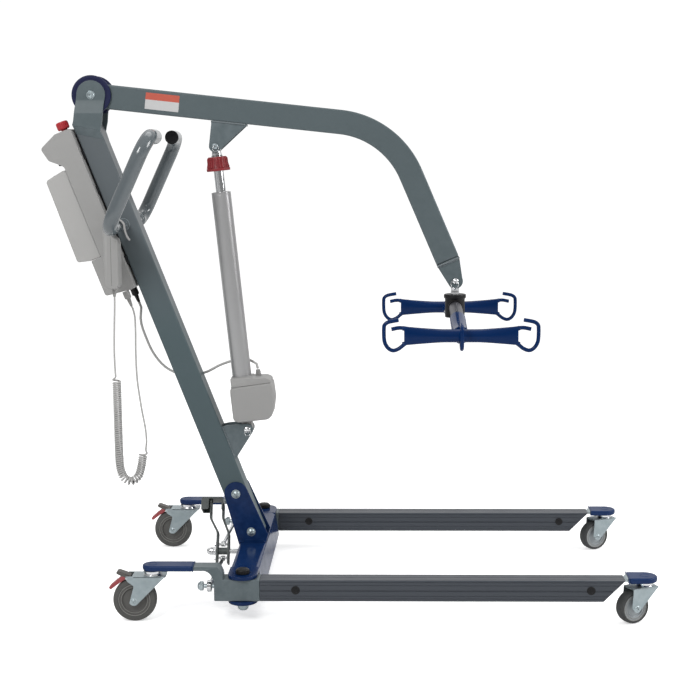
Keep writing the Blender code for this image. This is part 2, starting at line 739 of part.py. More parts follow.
def mast_head():
    """Two ears welded to the top of the mast, joined by its cap."""
    top = BOOM_PIVOT
    ear = arc(top.x, top.z, EAR_RADIUS, 0, 180, 12)
    foot_rear = to_mast(-MAST_DEPTH / 2, 0, 1.075)
    foot_front = to_mast(MAST_DEPTH / 2, 0, 1.062)
    ear += [(top.x - 0.0395, 1.170), (top.x - 0.0437, 1.139), (foot_rear.x, foot_rear.z)]
    ear += [(foot_front.x, foot_front.z), (top.x + 0.0235, 1.128), (top.x + 0.0270, 1.152)]
    middle = EAR_INNER + EAR_THICKNESS / 2
    head = show(plate("mast_head", ear, EAR_THICKNESS, -middle), GREY_PAINT, base)
    cap_low = to_mast(0, 0, MAST_LENGTH + GAP)
    cap = box("mast_cap", (-0.0290, -EAR_INNER - 0.002, 0), (0.0290, EAR_INNER + 0.002, 0.0045))
    tilt = Matrix.Translation(cap_low) @ Matrix.Rotation(-MAST_LEAN, 4, "Y")
    add(head, stand(cap, tilt))
    add(head, plate("left_ear", ear, EAR_THICKNESS, middle))
    cut(head, rod("ear_bore", (top.x, -0.06, top.z), (top.x, 0.06, top.z), 0.0083))


def boom_pivot_bolt():
    reach = EAR_INNER + EAR_THICKNESS
    x, z = BOOM_PIVOT.x, BOOM_PIVOT.z
    piece = show(rod("boom_pivot_bolt", (x, -reach - 0.001, z), (x, reach + 0.012, z), 0.0080), ZINC, base)
    add(piece, rod("pivot_head", (x, -reach - 0.0065, z), (x, -reach - GAP, z), 0.0070, 0.0100))
    add(piece, rod("pivot_nut", (x, reach + GAP, z), (x, reach + 0.0090, z), 0.0125, sides=6))


def handle_bar():
    """A crossbar through the mast and, at each end, a wider tube up to a grip that turns inwards."""
    top = HANDLE_TOP
    reach = HANDLE_Y - 0.0550
    low, high = (HANDLE_X, -reach, HANDLE_Z), (HANDLE_X, reach, HANDLE_Z)
    bar = show(rod("push_handle", low, high, CROSSBAR_RADIUS, sides=14), GREY_PAINT, base)
    for side, label in ((-1, "right"), (1, "left")):
        route = [(HANDLE_X, side * (HANDLE_Y - 0.056), HANDLE_Z), (HANDLE_X, side * HANDLE_Y, HANDLE_Z)]
        route += [(top.x, side * HANDLE_Y, top.z), (top.x, side * GRIP_END_Y, top.z)]
        add(bar, tube(f"{label}_grip", fillet(route, 0.048), HANDLE_RADIUS, 3))
        start = (top.x, side * (GRIP_END_Y - GAP), top.z)
        end = (top.x, side * (GRIP_END_Y - 0.0040), top.z)
        show(rod(f"{label}_handle_plug", start, end, HANDLE_RADIUS, HANDLE_RADIUS - 0.001), BLACK_PLASTIC, base)
    whole = [(top.x, -GRIP_END_Y + 0.010, top.z), (top.x, -HANDLE_Y, top.z), (HANDLE_X, -HANDLE_Y, HANDLE_Z)]
    whole += [(x, -y, z) for x, y, z in reversed(whole)]
    cut(bar, tube("handle_inside", fillet(whole, 0.048, 6), CROSSBAR_RADIUS - TUBE_WALL, 2))


mast_tube()
mast_bolt("mast_bolt_lower", MAST_BOLTS[0])
mast_bolt("mast_bolt_upper", MAST_BOLTS[1])
mast_head()
boom_pivot_bolt()
handle_bar()


# Control box, battery and stop button, drawn in the mast's frame

CASE_HALF = 0.055
CASE_FRONT = -MAST_DEPTH / 2 - 0.0045
STOP_X = -0.0555


def control_box():
    outline = [(CASE_FRONT, 0.695), (CASE_FRONT, 1.0960), (-0.0370, 1.0985), (-0.0730, 1.0985)]
    outline += [(-0.1145, 1.0800), (-0.1175, 1.0750), (-0.1110, 1.0460), (-0.1080, 1.0430)]
    outline += [(-0.0860, 1.0240), (-0.0820, 1.0180), (-0.0820, 0.7885), (-0.1080, 0.7885)]
    outline += [(-0.1080, 0.7010), (-0.1040, 0.6975), (-0.0400, 0.6900)]
    case = show(plate("control_box", outline, 2 * CASE_HALF), CASE_PLASTIC, mast)
    bevel(case, 0.0035)
    stop = rod("stop_bore", (STOP_X, -0.012, 1.080), (STOP_X, -0.012, 1.120), 0.0085, sides=12)
    cut(case, stop)
    x, y = MOTOR_SOCKET_X, MOTOR_SOCKET_Y
    add(case, rod("motor_socket", (x, y, 0.700), (x, y, 0.6720), 0.0085, 0.0078, 14))
    add(case, rod("motor_boot", (x, y, 0.6740), (x, y, 0.6520), 0.0058, 0.0040, 12))
    rail = box("mount_rail", (-MAST_DEPTH / 2 - GAP - 0.0002, -0.018, 0.740), (CASE_FRONT - 0.004, 0.018, 1.070))
    add(case, rail)


def battery_pack():
    rear = [(-0.0825, 0.7890), (-0.0825, 1.0110), (-0.0900, 1.0125), (-0.1330, 1.0045)]
    rear += [(-0.1370, 1.0000), (-0.1412, 0.8010), (-0.1385, 0.7965), (-0.1090, 0.7890)]
    battery = show(plate("battery_pack", rear, 2 * CASE_HALF - 0.006), CASE_PLASTIC, mast)
    bevel(battery, 0.0035)


def stop_button():
    profile = [(0, 0.0252), (0.0130, 0.0248), (0.0145, 0.0232), (0.0145, 0.0072), (0.0135, 0.0062)]
    profile += [(0.0078, 0.0062), (0.0078, -0.0120), (0, -0.0120)]
    press = frame("stop_press", (STOP_X, -0.012, 1.0985), parent=mast)
    show(turned("emergency_stop_button", profile, 16, ring=False), RED_PLASTIC, press)


def socket(name, y, x):
    """A cable socket with its boot, on the case's lower end."""
    piece = rod(name, (x, y, 0.6905), (x, y, 0.6720), 0.0085, 0.0078, 14)
    show(piece, BLACK_PLASTIC, mast)
    add(piece, rod(f"{name}_boot", (x, y, 0.6730), (x, y, 0.6520), 0.0058, 0.0036, 12))


HANDSET_SOCKET_X = -0.0635
HANDSET_SOCKET_Y = -0.030
MOTOR_SOCKET_X = -0.0545
MOTOR_SOCKET_Y = 0.030

control_box()
battery_pack()
stop_button()


# Handset, hung on the handle's crossbar

def handset():
    y = HANDSET_Y
    body_points = [(-0.0790, 0.7480), (-0.0830, 0.7530), (-0.0850, 0.9050), (-0.0800, 0.9120)]
    body_points += [(-0.0735, 0.9120), (-0.0712, 0.9050), (-0.0700, 0.8780), (-0.0540, 0.8640)]
    body_points += [(-0.0510, 0.8560), (-0.0500, 0.7560), (-0.0550, 0.7480)]
    body = show(plate("handset", body_points, 0.052, y), CASE_PLASTIC, base)
    bevel(body, 0.0045)
    ring_x, ring_z = HANDLE_X, HANDLE_Z - 0.0005
    hook_points = arc(ring_x, ring_z, 0.0190, 190, 0, 12)
    hook_points += [(ring_x + 0.0215, ring_z - 0.0160), (ring_x + 0.0310, ring_z - 0.0310)]
    hook_points += [(ring_x + 0.0270, ring_z - 0.0330), (ring_x + 0.0175, ring_z - 0.0170)]
    hook_points += arc(ring_x, ring_z, 0.0147, 0, 190, 12)
    add(body, plate("handset_hook", hook_points, 0.024, y))
    add(body, rod("handset_boot", (-0.0650, y, 0.7500), (-0.0650, y, 0.7280), 0.0065, 0.0038, 12))
    for z, label in ((0.8750, "up"), (0.8450, "down")):
        cut(body, box(f"{label}_pocket", (-0.0900, y - 0.0085, z - 0.0085), (-0.0800, y + 0.0085, z + 0.0085)))
        key = box(f"handset_{label}_button", (-0.0056, -0.0080, -0.0080), (0, 0.0080, 0.0080))
        press = frame(f"{label}_press", (-0.0812, y, z), parent=base)
        show(key, BLACK_PLASTIC, press)


handset()


# Cords

def route_in_mast(points):
    return [to_mast(*point) for point in points]


def cords():
    y = HANDSET_Y
    thin_down = [(-0.0650, y, 0.7277), (-0.0655, y, 0.7000), (-0.0672, y, 0.6500), (-0.0680, y, 0.6000)]
    thin_down += [(-0.0672, y, 0.5600), (-0.0660, y, 0.5400)]
    coil = [(-0.0660, y, 0.5397), (-0.0655, y, 0.5200), (-0.0652, y, 0.4700), (-0.0650, y, 0.4200)]
    coil += [(-0.0645, y, 0.3700), (-0.0625, y, 0.3250), (-0.0555, y + 0.002, 0.2930)]
    coil += [(-0.0405, y + 0.005, 0.2780), (-0.0245, y + 0.009, 0.2930), (-0.0150, y + 0.012, 0.3220)]
    coil += [(-0.0070, y + 0.015, 0.3570)]
    out = Vector(coil[-1]) - Vector(coil[-2])
    tail_start = Vector(coil[-1]) + out.normalized() * GAP
    socket_end = to_mast(HANDSET_SOCKET_X, HANDSET_SOCKET_Y, 0.6520 - GAP)
    tail = [tail_start, (-0.0038, y + 0.018, 0.3760), (-0.0070, y + 0.026, 0.4100), (-0.0150, y + 0.037, 0.4600)]
    tail += [(-0.0245, y + 0.049, 0.5200), (-0.0285, y + 0.061, 0.5800), (-0.0295, y + 0.071, 0.6300)]
    tail += [(-0.0315, y + 0.080, 0.6650), to_mast(HANDSET_SOCKET_X, HANDSET_SOCKET_Y, 0.6400), socket_end]
    show(tube("handset_cord_upper", smooth_path(thin_down, 0.012), CORD_RADIUS), CORD_GREY, base)
    show(tube("handset_cord_coil", smooth_path(coil, 0.012), COIL_RADIUS), CORD_GREY, base)
    show(tube("handset_cord_tail", smooth_path(tail, 0.014), CORD_RADIUS), CORD_GREY, base)
    socket_out = to_mast(MOTOR_SOCKET_X, MOTOR_SOCKET_Y, 0.6520 - GAP)
    lead = [socket_out, to_mast(MOTOR_SOCKET_X, MOTOR_SOCKET_Y, 0.6380), (-0.0290, 0.034, 0.6500)]
    lead += [(-0.0170, 0.038, 0.6080), (0.0000, 0.041, 0.5690), (0.0260, 0.042, 0.5370), (0.0590, 0.042, 0.5190)]
    lead += [(0.0950, 0.042, 0.5160), (0.1300, 0.042, 0.5220), (0.1650, 0.042, 0.5400), (0.2000, 0.040, 0.5520)]
    lead += [(0.2290, 0.034, 0.5570), (0.2480, 0.022, 0.5520), GLAND_ABOVE, GLAND_TOP]
    show(tube("motor_cable", smooth_path(lead, 0.014), 0.0032), CORD_GREY, base)


# Actuator between mast and arm

ACTUATOR_AXIS = ACTUATOR_HEAD - ACTUATOR_FOOT
ACTUATOR_LEAN = math.atan2(ACTUATOR_AXIS.x, ACTUATOR_AXIS.z)
ACTUATOR_LENGTH = ACTUATOR_AXIS.length
GLAND_X = 0.0400
GLAND_END = 0.1420


def to_actuator(x, y, z):
    return ACTUATOR_FOOT + Matrix.Rotation(ACTUATOR_LEAN, 3, "Y") @ Vector((x, y, z))


GLAND_TOP = to_actuator(GLAND_X, 0.010, GLAND_END + 0.0020)
GLAND_ABOVE = to_actuator(GLAND_X, 0.010, GLAND_END + 0.0120)

actuator = frame("actuator_pivot", ACTUATOR_FOOT, (0, ACTUATOR_LEAN, 0), base)


def motor_housing():
    points = [(-0.0262, 0.1320), (0.0610, 0.1255), (0.0745, 0.1165), (0.0762, 0.0680), (0.0680, 0.0330)]
    points += [(0.0560, 0.0225), (-0.0200, 0.0215), (-0.0296, 0.0290), (-0.0300, 0.0950), (-0.0262, 0.1050)]
    housing = show(plate("motor_housing", points, 0.076), CASE_PLASTIC, actuator)
    bevel(housing, 0.005)
    lug = [(-0.0120, 0.0300), *arc(0, 0, 0.0130, 180, 360, 10), (0.0120, 0.0300)]
    add(housing, plate("motor_lug", lug, 0.034))
    add(housing, rod("cable_gland", (GLAND_X, 0.010, 0.120), (GLAND_X, 0.010, GLAND_END), 0.0085, 0.0055, 12))
    cut(housing, rod("motor_lug_bore", (0, -0.05, 0), (0, 0.05, 0), 0.0053, sides=12))


def actuator_tube():
    low, high, radius = ACTUATOR_TUBE_START, ACTUATOR_TUBE_TOP, ACTUATOR_TUBE_RADIUS
    bore = ROD_RADIUS + 0.0006
    profile = [(bore, high), (radius - 0.003, high), (radius, high - 0.003), (radius, low), (bore, low)]
    show(turned("actuator_tube", profile, 20), ACTUATOR_GREY, actuator)


def actuator_rod():
    head = ACTUATOR_LENGTH
    piece = rod("actuator_rod", (0, 0, 0.255), (0, 0, head - 0.010), ROD_RADIUS)
    show(piece, CHROME, actuator)
    add(piece, rod("rod_eye", (0, -0.0150, head), (0, 0.0150, head), EYE_RADIUS))


def lowering_knob():
    low = 0.6350
    bore = ROD_RADIUS + 0.0006
    profile = [(bore, low + 0.0345), (0.0225, low + 0.0345), (0.0250, low + 0.0320), (0.0255, low + 0.0180)]
    profile += [(0.0285, low + 0.0080), (0.0285, low + 0.0015), (0.0270, low), (bore, low)]
    show(turned("lowering_knob", profile, 20), RED_PLASTIC, actuator)


def lower_pin():
    at = (ACTUATOR_FOOT.x, ACTUATOR_FOOT.z)
    piece = rod("actuator_pin", (at[0], -0.0270, at[1]), (at[0], 0.0300, at[1]), 0.0050, sides=12)
    show(piece, CHROME, base)
    add(piece, rod("actuator_pin_head", (at[0], -0.0275, at[1]), (at[0], -0.0233, at[1]), 0.0085))


motor_housing()
actuator_tube()
actuator_rod()
lowering_knob()
lower_pin()
socket("handset_socket", HANDSET_SOCKET_Y, HANDSET_SOCKET_X)
cords()


# Arm

boom = frame("boom_pivot", BOOM_PIVOT, (0, BOOM_DROOP, 0), base)


def boom_side(offset, start, end_extra):
    """One edge of the arm's side view, offset from its centre line and followed from rear to tip."""
    centre_z = -BOOM_BEND_RADIUS
    points = [(start, offset)]
    turn = math.degrees(BOOM_BEND)
    points += arc(BOOM_STRAIGHT, centre_z, BOOM_BEND_RADIUS + offset, 90, 90 - turn, 14)
    last = Vector(points[-1])
    along = Vector((math.cos(BOOM_BEND), -math.sin(BOOM_BEND)))
    points.append(tuple(last + along * (BOOM_DROP + end_extra)))
    return points


def boom_tube():
    half = BOOM_HEIGHT / 2
    outline = boom_side(half, 0.0, 0.0) + boom_side(-half, 0.0, 0.0)[::-1]
    outline += arc(0, 0, half, 270, 90, 10)[1:-1]
    body = show(plate("boom_tube", outline, BOOM_WIDTH), GREY_PAINT, boom)
    inner = half - BOOM_WALL
    hollow = boom_side(inner, 0.040, 0.03) + boom_side(-inner, 0.040, 0.03)[::-1]
    cut(body, plate("boom_hollow", hollow, BOOM_WIDTH - 2 * BOOM_WALL))
    cut(body, rod("boom_bore", (0, -0.05, 0), (0, 0.05, 0), 0.0083))


def tip_point(along, across):
    """A place beyond the arm's lower end, along and across its last straight."""
    end = Vector((BOOM_STRAIGHT, -BOOM_BEND_RADIUS))
    radial = Vector((math.sin(BOOM_BEND), math.cos(BOOM_BEND)))
    forward = Vector((math.cos(BOOM_BEND), -math.sin(BOOM_BEND)))
    return end + radial * (BOOM_BEND_RADIUS + across) + forward * (BOOM_DROP + along)


TIP_REACH = 0.0535
TIP_SHIFT = -0.0025
TIP_RADIUS = 0.0185
TIP_INNER = 0.0135
TIP_OUTER = 0.0195


def boom_tip():
    half = BOOM_HEIGHT / 2
    cap = [tip_point(a, c) for a, c in ((GAP, half), (GAP, -half), (0.006, -half), (0.006, half))]
    body = show(plate("boom_tip_fork", [tuple(p) for p in cap], BOOM_WIDTH), GREY_PAINT, boom)
    for sign, label in ((-1, "right"), (1, "left")):
        cheek = [tip_point(0.003, half), tip_point(0.003, -half)]
        for i in range(13):
            angle = math.radians(-90 + 180 * i / 12)
            reach = TIP_REACH + TIP_RADIUS * math.cos(angle)
            cheek.append(tip_point(reach, TIP_SHIFT + TIP_RADIUS * math.sin(angle)))
        middle = sign * (TIP_INNER + TIP_OUTER) / 2
        add(body, plate(f"tip_cheek_{label}", [tuple(p) for p in cheek], TIP_OUTER - TIP_INNER, middle))
    pin = tip_point(TIP_REACH, TIP_SHIFT)
    cut(body, rod("tip_bore", (pin.x, -0.05, pin.y), (pin.x, 0.05, pin.y), 0.0053, sides=12))


def tip_pin():
    at = tip_point(TIP_REACH, TIP_SHIFT)
    reach = TIP_OUTER + 0.0045
    piece = show(rod("boom_tip_pin", (at.x, -reach, at.y), (at.x, reach, at.y), 0.0050, sides=12), CHROME, boom)
    head = rod("tip_pin_head", (at.x, -reach - 0.002, at.y), (at.x, -TIP_OUTER - GAP, at.y), 0.0080)
    add(piece, head)


def boom_discs():
    for side, label in ((-1, "right"), (1, "left")):
        inner, outer = BOOM_WIDTH / 2 + GAP, EAR_INNER - GAP
        profile = [(0.0083, outer), (DISC_RADIUS - 0.0015, outer), (DISC_RADIUS, outer - 0.0015)]
        profile += [(DISC_RADIUS, inner + 0.0015), (DISC_RADIUS - 0.0015, inner), (0.0083, inner)]
        piece = turned(f"{label}_pivot_disc", profile, 28)
        turn = Matrix.Rotation(-side * math.pi / 2, 4, "X")
        show(stand(piece, turn), BLUE_PAINT, boom)


def upper_bracket():
    """Two ears under the arm, open between them for the rod's eye."""
    head = ACTUATOR_HEAD - BOOM_PIVOT
    s = head.x * math.cos(BOOM_DROOP) - head.z * math.sin(BOOM_DROOP)
    n = head.x * math.sin(BOOM_DROOP) + head.z * math.cos(BOOM_DROOP)
    low = -BOOM_HEIGHT / 2 - GAP
    body = box("boom_bracket", (s - 0.0150, -0.0215, low - 0.005), (s + 0.0700, 0.0215, low))
    show(body, GREY_PAINT, boom)
    for sign, label in ((-1, "right"), (1, "left")):
        ear = [(s + 0.0690, low - 0.003), (s - 0.0140, low - 0.003)]
        ear += arc(s, n, 0.0145, 180, 315, 7)
        add(body, plate(f"bracket_ear_{label}", ear, 0.0050, sign * 0.0190))
        bolt_head = rod(f"bracket_bolt_{label}", (s, sign * 0.0205, n), (s, sign * 0.0265, n), 0.0080, sides=12)
        add(body, bolt_head)


boom_tube()
boom_tip()
tip_pin()
boom_discs()
upper_bracket()


# Hanger and cradle

TIP_IN_BOOM = tip_point(TIP_REACH, TIP_SHIFT)
HANGER_PIVOT = BOOM_PIVOT + Matrix.Rotation(BOOM_DROOP, 3, "Y") @ Vector((TIP_IN_BOOM.x, 0, TIP_IN_BOOM.y))

hanger = frame("hanger_pivot", HANGER_PIVOT, parent=base)
DROP = HANGER_PIVOT.z


def hanger_yoke():
    """The eye on the arm's pin and the turned shank that goes down into the collar."""
    piece = rod("hanger_yoke", (0, -0.0120, 0), (0, 0.0120, 0), 0.0125)
    show(piece, CHROME, hanger)
    add(piece, rod("yoke_shank", (0, 0, -0.0060), (0, 0, 0.7068 - DROP), 0.0105))
    cut(piece, rod("yoke_bore", (0, -0.03, 0), (0, 0.03, 0), 0.0053, sides=12))


def cross_tube_path():
    """The cradle's middle tube, highest under the collar and lower at the bars."""
    drop = CROSS_TUBE_Z - BAR_Z
    reach = BAR_Y - BAR_RADIUS - GAP
    path = []
    for i in range(17):
        y = reach * (i - 8) / 8
        ramp = min(1, max(0, (abs(y) - 0.030) / (reach - 0.030)))
        path.append((0, y, CROSS_TUBE_Z - drop * ramp * ramp * (3 - 2 * ramp) - DROP))
    return path


def hanger_collar():
    high, low = 0.7205 - DROP, 0.6640 - DROP
    profile = [(0.0112, high), (0.0265, high), (0.0270, high - 0.0080), (0.0240, high - 0.0110)]
    profile += [(0.0240, low), (0.0112, low)]
    collar = show(turned("cradle_collar", profile, 24), BLACK_PLASTIC, hanger)
    cut(collar, tube("collar_cutter", cross_tube_path(), CROSS_TUBE_RADIUS + GAP, 3))


def cradle_cross_tube():
    path = [Vector(point) for point in cross_tube_path()]
    body = show(tube("cradle_cross_tube", path, CROSS_TUBE_RADIUS, 3), GREY_PAINT, hanger)
    path.insert(0, 2 * path[0] - path[1])
    path.append(2 * path[-1] - path[-2])
    cut(body, tube("cross_tube_inside", path, CROSS_TUBE_RADIUS - TUBE_WALL, 3))


HOOK_ROUTE = (
    (-0.0060, -0.0150), (0.0030, -0.0220), (0.0121, -0.0291), (0.0237, -0.0332), (0.0336, -0.0296),
    (0.0417, -0.0193), (0.0450, -0.0060), (0.0452, 0.0190), (0.0430, 0.0260), (0.0370, 0.0305),
    (0.0290, 0.0328), (0.0121, 0.0358),
)


def hook_path(start, outward, size=1.0):
    """The sling hook's round bar: down, out, up and back over the top, leaving a way in."""
    start, outward = Vector(start), Vector(outward)
    return [start + outward * u * size + Vector((0, 0, v * size)) for u, v in HOOK_ROUTE]


def cradle_bar(side, label):
    """A round tube pressed flat and wide at both ends, with a hook and a short prong welded to each end."""
    y, z = side * BAR_Y, BAR_Z - DROP
    bm = bmesh.new()
    rings = []
    stations = (-1.0, -0.82, -0.60, -0.38, 0.38, 0.60, 0.82, 1.0)
    for station in stations:
        flat = min(1, max(0, (abs(station) - 0.30) / 0.70)) ** 1.3
        tall = BAR_RADIUS + (0.0215 - BAR_RADIUS) * flat
        wide = BAR_RADIUS + (0.0065 - BAR_RADIUS) * flat
        ring = []
        for i in range(14):
            angle = 2 * math.pi * i / 14
            place = (station * BAR_HALF, y + wide * math.cos(angle), z + tall * math.sin(angle))
            ring.append(bm.verts.new(place))
        rings.append(ring)
    for before, after in zip(rings, rings[1:]):
        for i in range(14):
            j = (i + 1) % 14
            bm.faces.new((before[i], before[j], after[j], after[i]))
    bm.faces.new(rings[0][::-1])
    bm.faces.new(rings[-1])
    bmesh.ops.recalc_face_normals(bm, faces=bm.faces)
    body = show(from_bmesh(f"cradle_bar_{label}", bm), BLUE_PAINT, hanger)
    for sign, end in ((-1, "rear"), (1, "front")):
        tip = (sign * BAR_HALF, y, z)
        add(body, tube(f"{end}_{label}_hook", hook_path(tip, (sign, 0, 0)), HOOK_ROD))
        prong = [(sign * (BAR_HALF + u), y, z + v) for u, v in ((-0.012, 0.0160), (0.010, 0.0182), (0.0285, 0.0150))]
        add(body, tube(f"{end}_{label}_prong", prong, HOOK_ROD))
    path = cross_tube_path()[::side]
    run = Vector(path[-1]) - Vector(path[-2])
    bore_end = Vector(path[-1]) + run.normalized() * GAP
    sleeve_end = Vector(path[-1]) + run.normalized() * 0.005
    add(body, tube(f"socket_{label}", [*path[12:], sleeve_end], CROSS_TUBE_RADIUS + 0.0028, 3))
    cut(body, tube(f"socket_{label}_bore", [*path[10:], bore_end], CROSS_TUBE_RADIUS + GAP, 3))
    middle = hook_path((0, y, z), (0, side, 0), 0.78)
    middle = [p + Vector((0, side * 0.0120, 0)) for p in middle[1:]]
    middle.insert(0, Vector((0, y + side * 0.0040, z - 0.0100)))
    add(body, tube(f"middle_{label}_hook", middle, HOOK_ROD))


hanger_yoke()
hanger_collar()
cradle_cross_tube()
cradle_bar(-1, "right")
cradle_bar(1, "left")
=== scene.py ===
"""Looks of the patient lift hoist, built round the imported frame. Metres, in the frame's own axes."""

import math

import bmesh
import bpy
from mathutils import Matrix, Vector


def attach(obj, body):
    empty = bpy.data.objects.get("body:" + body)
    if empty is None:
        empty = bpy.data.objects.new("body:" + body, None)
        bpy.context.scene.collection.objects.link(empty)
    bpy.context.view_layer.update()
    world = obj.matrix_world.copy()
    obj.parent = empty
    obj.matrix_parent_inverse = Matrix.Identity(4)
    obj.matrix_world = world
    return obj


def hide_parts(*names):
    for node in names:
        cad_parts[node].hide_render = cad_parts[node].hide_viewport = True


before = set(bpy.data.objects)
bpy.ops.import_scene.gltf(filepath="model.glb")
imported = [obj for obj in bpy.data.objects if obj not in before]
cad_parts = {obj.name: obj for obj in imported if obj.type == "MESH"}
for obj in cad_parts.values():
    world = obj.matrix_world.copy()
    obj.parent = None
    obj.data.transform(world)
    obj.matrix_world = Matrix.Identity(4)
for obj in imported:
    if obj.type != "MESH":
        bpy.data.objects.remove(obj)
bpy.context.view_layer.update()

# Places that the part's own source uses, along X from the rear wheels' axle
REAR_AXLE_X = -0.477
LEG_PIVOT_X = 0.248
LEG_Y = 0.305
LEG_HALF = 0.025
LEG_LOW, LEG_HIGH = 0.05, 0.1
MAST_FOOT = (0.253, 0, 0.11)
MAST_LEAN = math.radians(21)
BOOM_PIVOT = (-0.124, 0, 1.2018)
BOOM_DROOP = math.radians(6.36)
BOOM_HALF = 0.029
BOOM_STRAIGHT = 0.5974
BOOM_BEND = math.radians(60.4)
BOOM_BEND_RADIUS = 0.209
BOOM_DROP = 0.2251
BOOM_TIP_HOLE = (0.0535, -0.0025)
ACTUATOR_FOOT = (0.2361, 0, 0.3884)
ACTUATOR_LEAN = math.radians(-5.562)
ACTUATOR_LENGTH = 0.69437
HANDLE_X, HANDLE_Y, HANDLE_Z = -0.0545, 0.245, 0.8935
HANDLE_TOP_X, HANDLE_TOP_Z = 0.0425, 1.102
HANDSET_Y = -0.115
SOCKET_X, SOCKET_Y = -0.0635, -0.03
STUD_INSET, STUD_Z = 0.014, 0.0745
PEDAL_Z = 0.074
PEDAL_LEAN = math.radians(28)
ROD_PIN_OUT = 0.0175
REAR_CASTER, REAR_AXLE = (0.042, 0.31), (-0.042, 0.05)
FRONT_CASTER, FRONT_AXLE = (1.1669, 0.305), (-0.033, 0.0375)
FRONT_CASTER_TURN = math.radians(27)
BAR_HALF = 0.128
CORD_DIAMETER = 0.0044
COIL_TURN_RADIUS = 0.0086
COIL_PITCH = 0.0052
COIL_LEAD = 0.02
SIDES = ((-1, "right"), (1, "left"))


def placed(place, lean=0.0, axis="Y"):
    return Matrix.Translation(place) @ Matrix.Rotation(lean, 4, axis)


BASE = Matrix.Translation((REAR_AXLE_X, 0, 0))
MAST_IN_BASE = placed(MAST_FOOT, -MAST_LEAN)
MAST = BASE @ MAST_IN_BASE
BOOM = BASE @ placed(BOOM_PIVOT, BOOM_DROOP)
ACTUATOR = BASE @ placed(ACTUATOR_FOOT, ACTUATOR_LEAN)


# Camera

def set_camera(place, yaw, pitch, roll, lens):
    """A camera turned by yaw to the left of +Y and by pitch downwards, then rolled about its own axis."""
    ahead = Vector((-math.sin(yaw) * math.cos(pitch), math.cos(yaw) * math.cos(pitch), -math.sin(pitch)))
    right = Vector((math.cos(yaw), math.sin(yaw), 0))
    up = right.cross(ahead)
    c, s = math.cos(roll), math.sin(roll)
    turn = Matrix((c * right + s * up, -s * right + c * up, -ahead)).transposed().to_4x4()
    data = bpy.data.cameras.new("camera")
    data.lens = lens
    data.sensor_width = 36
    camera = bpy.data.objects.new("camera", data)
    camera.matrix_world = Matrix.Translation(place) @ turn
    bpy.context.scene.collection.objects.link(camera)
    bpy.context.scene.camera = camera


set_camera((0.09308, -3.52192, 1.084), 0.022762, 0.141284, -0.0046993, 74.57)


# Materials

def add_node(tree, kind, inputs=(), **settings):
    """A node whose inputs are each set to a value or linked to another node's output."""
    node = tree.nodes.new("ShaderNode" + kind)
    for key, value in settings.items():
        setattr(node, key, value)
    for key, value in dict(inputs).items():
        if isinstance(value, bpy.types.NodeSocket):
            tree.links.new(value, node.inputs[key])
        else:
            node.inputs[key].default_value = value
    return node


def map_range(tree, value, low, high, start, end):
    numbers = {"Value": value, "From Min": start, "From Max": end, "To Min": low, "To Max": high}
    return add_node(tree, "MapRange", numbers).outputs["Result"]


class Nodes:
    """A short way of building one material."""

    def __init__(self, name):
        self.material = bpy.data.materials.new(name)
        self.material.use_nodes = True
        self.tree = self.material.node_tree
        self.place = self.add("TexCoord").outputs["Object"]

    def add(self, kind, inputs=(), **settings):
        return add_node(self.tree, kind, inputs, **settings)

    def set(self, name, value):
        shader = self.tree.nodes["Principled BSDF"]
        if isinstance(value, bpy.types.NodeSocket):
            self.tree.links.new(value, shader.inputs[name])
        else:
            shader.inputs[name].default_value = value

    def noise(self, scale, detail=3, rough=0.55, stretch=None):
        vector = self.place
        if stretch is not None:
            vector = self.add("Mapping", {"Scale": stretch, "Vector": vector}).outputs["Vector"]
        inputs = {"Scale": scale, "Detail": detail, "Roughness": rough, "Vector": vector}
        return self.add("TexNoise", inputs).outputs["Fac"]

    def span(self, value, low, high, start=0.25, end=0.75):
        return map_range(self.tree, value, low, high, start, end)

    def blend(self, factor, a, b):
        a, b = ((*c, 1) if isinstance(c, tuple) else c for c in (a, b))
        return self.add("Mix", {0: factor, 6: a, 7: b}, data_type="RGBA").outputs[2]

    def times(self, a, b):
        return self.add("Math", {0: a, 1: b}, operation="MULTIPLY").outputs[0]

    def bump(self, height, strength, **onto):
        inputs = {"Strength": strength, "Distance": 0.0002, "Height": height, **onto}
        return self.add("Bump", inputs).outputs["Normal"]

    def edges(self):
        """1 along outer edges and 0 elsewhere."""
        return self.span(self.add("NewGeometry").outputs["Pointiness"], 0, 1, 0.52, 0.6)


def shade(colour, by):
    return tuple(min(1, c * by) for c in colour)


